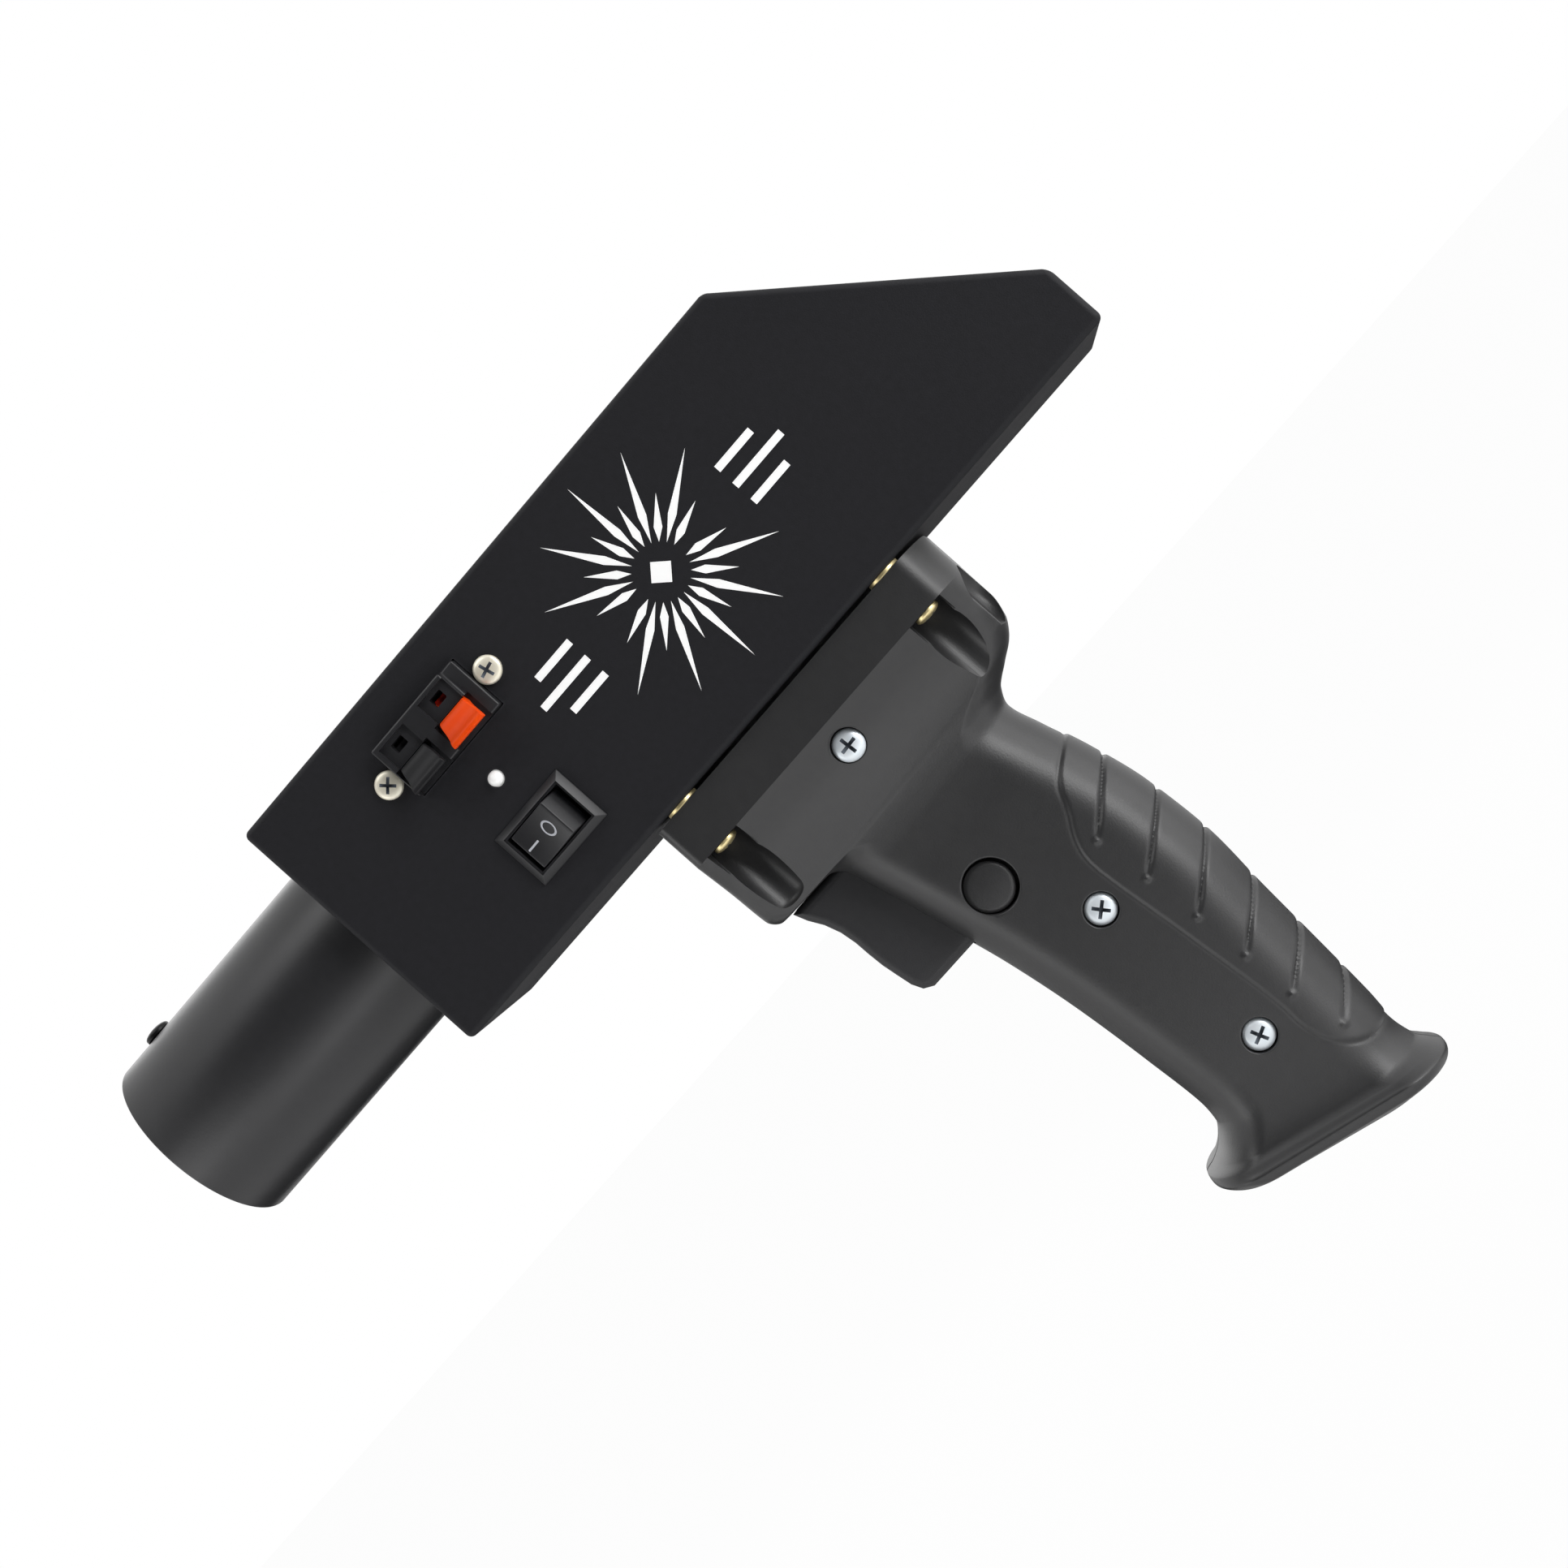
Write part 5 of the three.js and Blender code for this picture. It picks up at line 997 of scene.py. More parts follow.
@dataclass(frozen=True)
class PushTerminal:
    """The two-way push terminal with its levers, screws and wire holes."""

    centre_x: float = 48.0
    centre_z: float = 16.4
    half_length: float = 13.4
    half_width: float = 7.25
    proud: float = 4.2
    back: float = 9.0
    ear_half: float = 21.0
    ear_depths: tuple[float, float] = (1.55, 3.55)
    step_length: float = 3.8
    step_drop: float = 2.0
    lever_places: tuple[tuple[str, float], ...] = (("black", 40.2), ("red", 53.4))
    window_half: float = 4.1
    window_centre: float = 19.1
    window_half_height: float = 3.3
    window_depth: float = 0.9
    hole_half: float = 1.7
    hole_centre: float = 20.1
    hole_half_height: float = 1.2
    seat_half: float = 5.25
    seat_top: float = 16.4
    tip_half: float = 4.95
    hinge_half: float = 3.85
    tip_z: float = 9.45
    hinge_z: float = 16.1
    screw_pitch: float = 33.8
    screw_hole: float = 1.45

    def _out(self, height: float) -> float:
        """The place across for a height above the panel."""
        return PANEL - height

    def base(self) -> Piece:
        """Models the moulded base with its windows, wire holes and lever seats."""
        x, z = self.centre_x, self.centre_z
        low, high = z - self.half_width, z + self.half_width
        size = (self.half_length, self.half_width)
        base = side_block("terminal_base_fine", (x, z), size, self._out(self.proud), self._out(-self.back))
        step = block(
            "step",
            (x + self.half_length - self.step_length, self._out(9), low - 1),
            (x + self.half_length + 1, self._out(self.proud - self.step_drop), high + 1),
        )
        worked(base, Cut.AWAY, step)
        eased(base, 0.5, 3)
        front, back = (self._out(-depth) for depth in self.ear_depths)
        ears = side_block("ears", (x, z), (self.ear_half, self.half_width), front, back)
        worked(base, Cut.JOIN, eased(ears, 0.4, 2))
        tools = [tool for _, place in self.lever_places for tool in self._lever_cuts(place, low)]
        tools += [drum("hole", self.screw_hole, Axis.Y, (run, PANEL, z), 0, 6, 24) for run in self._screw_runs()]
        return smooth(worked(base, Cut.AWAY, *tools), 40)

    def _screw_runs(self) -> tuple[float, float]:
        """The runs of the front and the rear screw."""
        return self.centre_x - self.screw_pitch / 2, self.centre_x + self.screw_pitch / 2

    def _lever_cuts(self, place: float, low: float) -> list[Piece]:
        """The cutters for one lever's window, wire hole and seat."""
        face = self._out(self.proud)
        half = (self.window_half, self.window_half_height)
        window = side_block("window", (place, self.window_centre), half, face - 1, face + self.window_depth)
        half = (self.hole_half, self.hole_half_height)
        hole = side_block("hole", (place, self.hole_centre), half, face - 1, self._out(-6))
        seat = block(
            "seat",
            (place - self.seat_half, face - 6, low - 1),
            (place + self.seat_half, self._out(1.2), self.seat_top),
        )
        return [window, eased(hole, 0.3, 2), seat]

    def lever(self, colour: str, place: float) -> Piece:
        """Models a lever: a hinged tab with a hollowed face and a lip for the thumb."""
        face = [(3.0, 16.05), (4.2, 16.1), (4.9, 15.8), (5.4, 15.1), (5.7, 14.3), (5.9, 13.5), (6.2, 12.7)]
        lip = [(6.6, 12.0), (7.2, 11.4), (7.9, 10.95), (8.2, 10.5), (8.15, 9.8), (7.8, self.tip_z), (6.4, self.tip_z)]
        back = [(5.0, 11.4), (3.6, 13.2), (2.6, 14.0), (0.5, 15.1), (0.5, 20.0), (1.5, 20.0), (1.9, 16.5)]
        outline = [(self._out(height), level) for height, level in (*face, *lip, *back)]
        half = self.tip_half
        tab = plate(f"{colour}_lever_fine", outline, Axis.X, place - half, place + half)
        for sign in (-1, 1):
            slant = (sign * (self.hinge_z - self.tip_z), 0, half - self.hinge_half)
            sliced(tab, (place + sign * half, 0, self.tip_z), slant)
        face_outwards(tab)
        return smooth(eased(tab, 0.25, 3, 50), 35)

    def build(self) -> None:
        """Builds the base, both levers and both screws."""
        dressed(self.base(), SWITCH_BLACK, "body", "black_plastic", "terminal_base")
        finishes = {"red": (LEVER_RED, "red_plastic"), "black": (LEVER_BLACK, "black_plastic")}
        for colour, place in self.lever_places:
            finish, slot = finishes[colour]
            dressed(self.lever(colour, place), finish, f"{colour}_lever", slot, f"{colour}_lever")
            self._wire_shutter(colour, place)
        screw = Screw(3.3, 1.7, 1.25, 6.5)
        places = tuple(
            (f"terminal_screw_{end}", (run, PANEL - GAP, self.centre_z), turn)
            for end, run, turn in zip(("front", "rear"), self._screw_runs(), (40.0, 12.0))
        )
        ScrewSet(screw, NICKEL, "nickel", TO_CONTROLS, places).build()

    def _wire_shutter(self, colour: str, place: float) -> None:
        """Builds the coloured guide that shows inside a wire hole."""
        middle, half = (place, self.hole_centre - 0.45), (self.hole_half - 0.1, 0.75)
        guide = side_block(f"{colour}_wire_guide", middle, half, self._out(1.6), self._out(0.9))
        finish, slot = (GUIDE_RED, "red_plastic") if colour == "red" else (SWITCH_BLACK, "black_plastic")
        dressed(smooth(eased(guide, 0.15, 2)), finish, "body", slot)


@dataclass(frozen=True)
class Lamp:
    """The small indicator lamp under the terminal."""

    x: float = 48.0
    z: float = -0.4
    radius: float = 1.75
    height: float = 1.9
    body: float = 6.5
    rim: float = 2.2
    rim_level: float = -1.55
    shoulder: float = 0.3

    def build(self) -> None:
        """Models the lamp's dome, body and rim as one turned lens."""
        profile = [(0, -self.body), (self.rim, -self.body), (self.rim, self.rim_level), (self.radius, self.rim_level)]
        profile += [(self.radius, self.shoulder), *dome(self.radius, self.shoulder, self.height, 12)]
        lens = spun("indicator_led_fine", [(r, -p) for r, p in profile], Axis.Y, (self.x, PANEL, self.z), 48)
        dressed(smooth(lens), LAMP_WHITE_PAINTED_GLOW, "body", "white_lens", "indicator_led")


@dataclass(frozen=True)
class RockerSwitch:
    """The rocker switch: framed housing, tilted rocker and its two marks."""

    x: float = 48.0
    z: float = -16.5
    bezel_half: tuple[float, float] = (10.5, 7.5)
    bezel_proud: float = 2.0
    bezel_slope: float = 1.7
    body_half: tuple[float, float] = (9.45, 6.4)
    body_depth: float = 12.1
    well_half: tuple[float, float] = (8.3, 5.2)
    mouth_ease: tuple[float, float] = (0.5, 0.35)
    floor: float = 1.5
    pivot_sink: float = 4.6
    tilt: float = 14.0
    rocker_half_width: float = 4.9
    face_half: float = 5.6
    face_height: float = 8.0
    shoulder_half: float = 7.85
    shoulder_height: float = 2.0
    foot: float = 1.5
    dish: float = 0.5
    line_run: float = -3.4
    line_half: tuple[float, float] = (1.6, 0.25)
    ring_run: float = 2.1
    ring_radius: float = 1.55
    ring_wire: float = 0.22
    print_depth: tuple[float, float] = (-0.04, 0.1)

    def housing(self) -> Piece:
        """Models the housing: sloping frame, body and well."""
        middle = (self.x, self.z)
        top, back = PANEL - GAP - self.bezel_proud, PANEL + self.body_depth
        piece = side_block("switch_housing_fine", middle, self.bezel_half, top, PANEL - GAP)
        round_edges(piece, lambda a, b: a.y < (top + 0.01) and b.y < (top + 0.01), self.bezel_slope, 1)
        eased(piece, 0.2, 2, 20)
        worked(piece, Cut.JOIN, side_block("body", middle, self.body_half, PANEL - 1, back))
        well = side_block("well", middle, self.well_half, top - 3, back - self.floor)
        wider, deeper = self.mouth_ease
        mouth = side_block("mouth", middle, [half + wider for half in self.well_half], top - 1, top + deeper)
        return smooth(worked(piece, Cut.AWAY, well, mouth))

    def _pivot(self) -> tuple[float, float, float]:
        """The pin the rocker turns on."""
        return (self.x, PANEL + self.pivot_sink, self.z)

    def rocker(self) -> Piece:
        """Models the rocker level, then tips its front end in."""
        pivot = self._pivot()
        x, level, z = pivot
        shoulder, foot = level - self.shoulder_height, level + self.foot
        outline = [
            *((x + u, self._face(u)) for u in np.linspace(-self.face_half, self.face_half, 13)),
            (x + self.shoulder_half, shoulder),
            (x + self.foot, foot),
            (x - self.foot, foot),
            (x - self.shoulder_half, shoulder),
        ]
        piece = plate("rocker_fine", outline, Axis.Z, z - self.rocker_half_width, z + self.rocker_half_width)
        eased(piece, 0.3, 3, 35)
        return smooth(turned_about(piece, -self.tilt, "Z", pivot), 25)

    def _face(self, u: float) -> float:
        """The dished face's place across at a distance from its middle."""
        share = u / self.face_half
        return self._pivot()[1] - (self.face_height - self.dish * (1 - share**2))

    def _laid(self, piece: Piece) -> Piece:
        """Lays a mark that was modelled at level nought onto the dished face."""
        for corner in piece.data.vertices:
            corner.co.y += self._face(corner.co.x / MM - self.x) * MM
        return piece

    def marks(self) -> Piece:
        """Models the line and the ring as thin prints on the rocker's face."""
        line = side_block("line", (self.x + self.line_run, self.z), self.line_half, *self.print_depth)
        with editing(line):
            bpy.ops.mesh.subdivide(number_cuts=5)
        radii = {"major_radius": self.ring_radius * MM, "minor_radius": self.ring_wire * MM}
        ring = added(bpy.ops.mesh.primitive_torus_add, major_segments=48, minor_segments=8, **radii)
        place = Matrix.Translation(Vector((self.x + self.ring_run, 0, self.z)) * MM)
        ring.matrix_world = place @ TO_CONTROLS @ Matrix.Diagonal((0.8, 1.2, 0.3, 1))
        marks = joined("rocker_marks", [self._laid(line), self._laid(settled(ring, "ring"))])
        return smooth(turned_about(marks, -self.tilt, "Z", self._pivot()))

    def build(self) -> None:
        """Builds the housing, the rocker and its marks."""
        dressed(self.housing(), SWITCH_BLACK, "body", "black_plastic", "switch_housing")
        dressed(self.rocker(), SWITCH_BLACK, "rocker", "black_plastic", "rocker")
        dressed(self.marks(), MARK_GREY, "rocker", "white_lens")


@dataclass(frozen=True)
class PanelPrint:
    """The printed decoration beside the controls: a burst of rays between plain stripes."""

    x: float = 106.0
    z: float = 1.6
    thickness: float = 0.04
    rays: int = 24
    inner: float = 6.5
    long_reach: float = 27.0
    short_reach: float = 17.0
    ray_half: float = 0.95
    ray_widest: float = 0.3
    clear_sine: float = 0.2
    diamond: float = 3.2
    stripe_lengths: tuple[float, ...] = (11.0, 15.0, 11.0)
    stripe_pitch: float = 5.2
    stripe_half: float = 0.9
    stripe_start: float = 24.5

    def _strip(self, outline: Outline) -> Piece:
        """A thin printed shape, given from the print's middle."""
        placed = [(self.x + u, self.z + v) for u, v in outline]
        return plate("strip", placed, Axis.Y, PANEL - self.thickness, PANEL + 0.02)

    def build(self) -> None:
        """Builds the rays, the middle diamond and the stripes as one print."""
        strips = []
        for i in range(self.rays):
            angle = 2 * math.pi * i / self.rays
            if abs(math.sin(angle)) < self.clear_sine:
                continue
            reach = self.long_reach if i % 2 == 0 else self.short_reach
            widest = self.inner + (reach - self.inner) * self.ray_widest
            ray = [(self.inner, 0), (widest, -self.ray_half), (reach, 0), (widest, self.ray_half)]
            cos, sin = math.cos(angle), math.sin(angle)
            strips.append(self._strip([(u * cos - v * sin, u * sin + v * cos) for u, v in ray]))
        half = self.diamond
        strips.append(self._strip([(-half, 0), (0, -half), (half, 0), (0, half)]))
        for side in (-1, 1):
            for i, length in enumerate(self.stripe_lengths):
                level = (i - (len(self.stripe_lengths) - 1) / 2) * self.stripe_pitch
                ends = sorted((side * self.stripe_start, side * (self.stripe_start + length)))
                low, high = level - self.stripe_half, level + self.stripe_half
                strips.append(self._strip([(ends[0], low), (ends[1], low), (ends[1], high), (ends[0], high)]))
        dressed(joined("panel_print", strips), PRINT_WHITE_PAINTED_GLOW, "body", "white_lens")


# Pistol grip


@dataclass(frozen=True)
class GripForm:
    """The grip's form as cross-sections from the flange to the heel.

    Each section gives the front edge's run and drop, the rear edge's run and drop, how much of
    the head's width and of the butt's flare it has, and how round it is. Runs are shares of the
    head's length and drops are shares of the grip's height. A ring's nose and tail are quarter
    ovals. Each has one run at the flange and another on the round handle, and a reach to the side.
    """

    front: float = 63.0
    strip_front: float = 62.0
    top: float = -35.0
    body_bottom: float = -34.0
    head_length: float = 85.7
    height: float = 166.4
    flange_depth: float = 12.5
    head_half: float = 28.0
    handle_half: float = 17.0
    butt_half: float = 21.0
    side_round: float = 0.96
    row_pitch: float = 0.5
    split: float = 0.05
    nose_runs: tuple[float, float] = (2.5, 11.0)
    nose_side: float = 2.5
    tail_runs: tuple[float, float] = (9.0, 14.0)
    tail_side: float = 17.0
    nose_points: int = 23
    flank_points: int = 90
    tail_points: int = 53
    seam_points: int = 4
    strip_rows: int = 16
    sections: tuple[tuple[float, ...], ...] = (
        (-0.016, 0.132, 1.0, 0.12, 0.55, 0, 0.05),
        (-0.02, 0.19, 0.984, 0.157, 0.27, 0, 0.15),
        (0.004, 0.2075, 0.949, 0.18, 0.18, 0, 0.3),
        (0.165, 0.2115, 0.887, 0.2, 0.13, 0, 0.8),
        (0.197, 0.228, 0.835, 0.2175, 0.08, 0, 1),
        (0.211, 0.258, 0.812, 0.242, 0.03, 0, 1),
        (0.236, 0.3125, 0.833, 0.2885, 0, 0, 1),
        (0.271, 0.397, 0.87, 0.3605, 0, 0, 1),
        (0.302, 0.475, 0.902, 0.451, 0, 0, 1),
        (0.334, 0.589, 0.9125, 0.553, 0, 0, 1),
        (0.3535, 0.703, 0.897, 0.661, 0, 0, 1),
        (0.364, 0.793, 0.881, 0.787, 0, 0, 1),
        (0.356, 0.826, 0.8705, 0.862, 0, 0.03, 1),
        (0.321, 0.849, 0.861, 0.9075, 0, 0.09, 1),
        (0.272, 0.863, 0.869, 0.941, 0, 0.22, 1),
        (0.2355, 0.868, 0.893, 0.961, 0, 0.5, 1),
        (0.2287, 0.881, 0.911, 0.9765, 0, 1, 1),
        (0.245, 0.8945, 0.897, 0.987, 0, 0.93, 1),
        (0.292, 0.9085, 0.83, 0.9905, 0, -0.1, 1),
    )

    def key_rows(self) -> np.ndarray:
        """Front x, front z, rear x, rear z, half width and roundness of each section."""
        shares = np.array(self.sections, float)
        half = between(self.handle_half, self.head_half, shares[:, 4])
        half += (self.butt_half - self.handle_half) * shares[:, 5]
        runs = self.front + shares[:, [0, 2]] * self.head_length
        levels = self.body_bottom - shares[:, [1, 3]] * self.height
        rows = np.column_stack([runs[:, 0], levels[:, 0], runs[:, 1], levels[:, 1], half, shares[:, 6]])
        foot = self.body_bottom - self.flange_depth
        rear = self.front + self.head_length
        strip = [self.strip_front, foot, rear, foot, self.head_half, 0.0]
        return np.vstack([strip, rows])

    def rows(self) -> np.ndarray:
        """The sections at a fine pitch, on smooth curves through the given ones."""
        keys = self.key_rows()
        middle = (keys[:, 0:2] + keys[:, 2:4]) / 2
        steps = np.linalg.norm(np.diff(middle, axis=0), axis=1)
        steps += np.linalg.norm(np.diff(keys[:, 0:2], axis=0), axis=1) / 2
        distance = np.concatenate([[0.0], np.cumsum(steps)])
        fine = np.linspace(0, distance[-1], int(distance[-1] / self.row_pitch))
        fine = np.unique(np.concatenate([fine, distance]))
        smooth_rows = np.column_stack([steady_curve(distance, keys[:, i], fine) for i in range(keys.shape[1])])
        top = smooth_rows[0].copy()
        top[[1, 3]] = self.top
        count = self.strip_rows
        strip = [top + (smooth_rows[0] - top) * i / count for i in range(count)]
        return np.vstack([strip, smooth_rows])

    def ring(self, row: np.ndarray) -> np.ndarray:
        """One side's half ring of a section, from the front's middle round to the rear's."""
        front, rear, half, turn = row[0:2], row[2:4], row[4], row[5]
        chord = rear - front
        depth = float(np.linalg.norm(chord))
        chord = chord / depth
        side = half * self.side_round
        front_run, front_side = between(*self.nose_runs, turn), between(self.nose_side, side, turn)
        rear_run, rear_side = between(*self.tail_runs, turn), between(self.tail_side, side, turn)
        angles = np.linspace(math.pi, 1.5 * math.pi, self.nose_points)
        nose = np.column_stack([front_run * (1 + np.cos(angles)), -(half - front_side) + front_side * np.sin(angles)])
        angles = np.linspace(1.5 * math.pi, 2 * math.pi, self.tail_points)
        tail_x, tail_y = depth - rear_run * (1 - np.cos(angles)), -(half - rear_side) + rear_side * np.sin(angles)
        tail = np.column_stack([tail_x, tail_y])
        flank = between(nose[-1], tail[0], np.linspace(0, 1, self.flank_points + 2)[1:-1, None])
        steps = np.arange(self.seam_points + 1)[:, None] / self.seam_points
        first = between(np.array([0.0, -self.split]), nose[0], steps[:-1])
        last = between(tail[-1], np.array([depth, -self.split]), steps[1:])
        points = np.vstack([first, nose, flank, tail, last])
        place = front + points[:, 0:1] * chord
        return np.column_stack([place[:, 0], points[:, 1], place[:, 1]])


def between(first: np.ndarray | float, last: np.ndarray | float, share: np.ndarray | float) -> np.ndarray | float:
    """The value at a share of the way from the first to the last."""
    return first + (last - first) * share


def steady_curve(x: np.ndarray, y: np.ndarray, at: np.ndarray) -> np.ndarray:
    """A smooth curve through points that doesn't overshoot them.

    Args:
        x: the points' places, rising.
        y: their values.
        at: the places to read.

    Returns:
        The values there.
    """
    width = np.diff(x)
    slope = np.diff(y) / width
    tangent = np.zeros_like(y)
    same = slope[:-1] * slope[1:] > 0
    w1, w2 = 2 * width[1:] + width[:-1], width[1:] + 2 * width[:-1]
    safe = np.where(same, slope[:-1] * slope[1:], 1.0)
    mean = (w1 + w2) * safe / (w1 * np.where(same, slope[1:], 1.0) + w2 * np.where(same, slope[:-1], 1.0))
    tangent[1:-1] = np.where(same, mean, 0.0)
    tangent[0], tangent[-1] = slope[0], slope[-1]
    i = np.clip(np.searchsorted(x, at, side="right") - 1, 0, len(width) - 1)
    t = (at - x[i]) / width[i]
    h00, h10 = (1 + 2 * t) * (1 - t) ** 2, t * (1 - t) ** 2
    h01, h11 = t * t * (3 - 2 * t), t * t * (t - 1)
    return h00 * y[i] + h10 * width[i] * tangent[i] + h01 * y[i + 1] + h11 * width[i] * tangent[i + 1]


@dataclass(frozen=True)
class PalmPanel:
    """The slightly raised rear panel with its border line and slanting grooves.

    Places are run and height in the side view, in millimetres. Each row of the border has four.
    """

    border: tuple[tuple[float, ...], ...] = (
        (152.0, -78.5, 136.4, -87.6, 127.3, -92.9, 124.9, -98.4),
        (120.9, -103.6, 119.0, -108.9, 119.4, -117.0, 121.0, -131.2),
        (122.1, -143.2, 123.2, -155.2, 123.6, -162.8, 123.2, -168.0),
        (124.2, -174.0, 128.3, -179.6, 133.6, -182.4, 152.0, -184.5),
    )
    grooves: tuple[tuple[float, float, float, float], ...] = (
        (123.9, -107.8, 136.8, -98.4),
        (125.0, -121.4, 137.5, -113.4),
        (126.0, -135.2, 138.3, -127.0),
        (126.6, -148.7, 137.8, -141.6),
        (127.0, -161.8, 137.2, -155.8),
        (129.5, -174.7, 136.4, -169.9),
    )
    raise_height: float = 0.42
    raise_softness: float = 0.25
    border_depth: float = 0.34
    border_width: float = 0.5
    groove_depth: float = 0.68
    groove_width: float = 0.5
    groove_ramp: float = 4.5
    dot_height: float = 0.45
    dot_radius: float = 0.7

    def _line(self) -> np.ndarray:
        """The border with its corners rounded."""
        line = np.array(self.border).reshape(-1, 2)
        for _ in range(3):
            near = line[:-1] * 0.75 + line[1:] * 0.25
            far = line[:-1] * 0.25 + line[1:] * 0.75
            line = np.vstack([line[:1], np.stack([near, far], axis=1).reshape(-1, 2), line[-1:]])
        return line

    def relief(self, places: np.ndarray) -> np.ndarray:
        """How far each place of the surface is moved outwards.

        Args:
            places: run and height of each place.

        Returns:
            The moves in millimetres.
        """
        line = self._line()
        away = distance_to_line(places, line)
        inside = within(places, line)
        signed = np.where(inside, away, -away)
        lift = self.raise_height / (1 + np.exp(-signed / self.raise_softness))
        lift = lift - self.border_depth * np.exp(-((away / self.border_width) ** 2))
        for x0, z0, x1, z1 in self.grooves:
            start, step = np.array([x0, z0]), np.array([x1 - x0, z1 - z0])
            unit = step / np.linalg.norm(step)
            along = (places - start) @ unit
            across = np.abs((places - start) @ np.array([-unit[1], unit[0]]))
            ramp = np.clip(along / self.groove_ramp, 0, 1) * inside
            lift = lift - self.groove_depth * ramp * np.exp(-((across / self.groove_width) ** 2))
            dot = np.linalg.norm(places - start, axis=1)
            lift = lift + self.dot_height * np.exp(-((dot / self.dot_radius) ** 2))
        return lift


def distance_to_line(places: np.ndarray, line: np.ndarray) -> np.ndarray:
    """The distance from each place to a line of points."""
    nearest = np.full(len(places), 1e9)
    for first, last in zip(line[:-1], line[1:]):
        step = last - first
        share = np.clip(((places - first) @ step) / (step @ step), 0, 1)
        nearest = np.minimum(nearest, np.linalg.norm(places - first - share[:, None] * step, axis=1))
    return nearest


def within(places: np.ndarray, ring: np.ndarray) -> np.ndarray:
    """Which places lie inside a closed ring of points."""
    inside = np.zeros(len(places), bool)
    for first, last in zip(ring, np.roll(ring, -1, axis=0)):
        crosses = (first[1] > places[:, 1]) != (last[1] > places[:, 1])
        rise = last[1] - first[1]
        edge = first[0] + (places[:, 1] - first[1]) * (last[0] - first[0]) / (rise if rise else 1e-9)
        inside ^= crosses & (places[:, 0] < edge)
    return inside


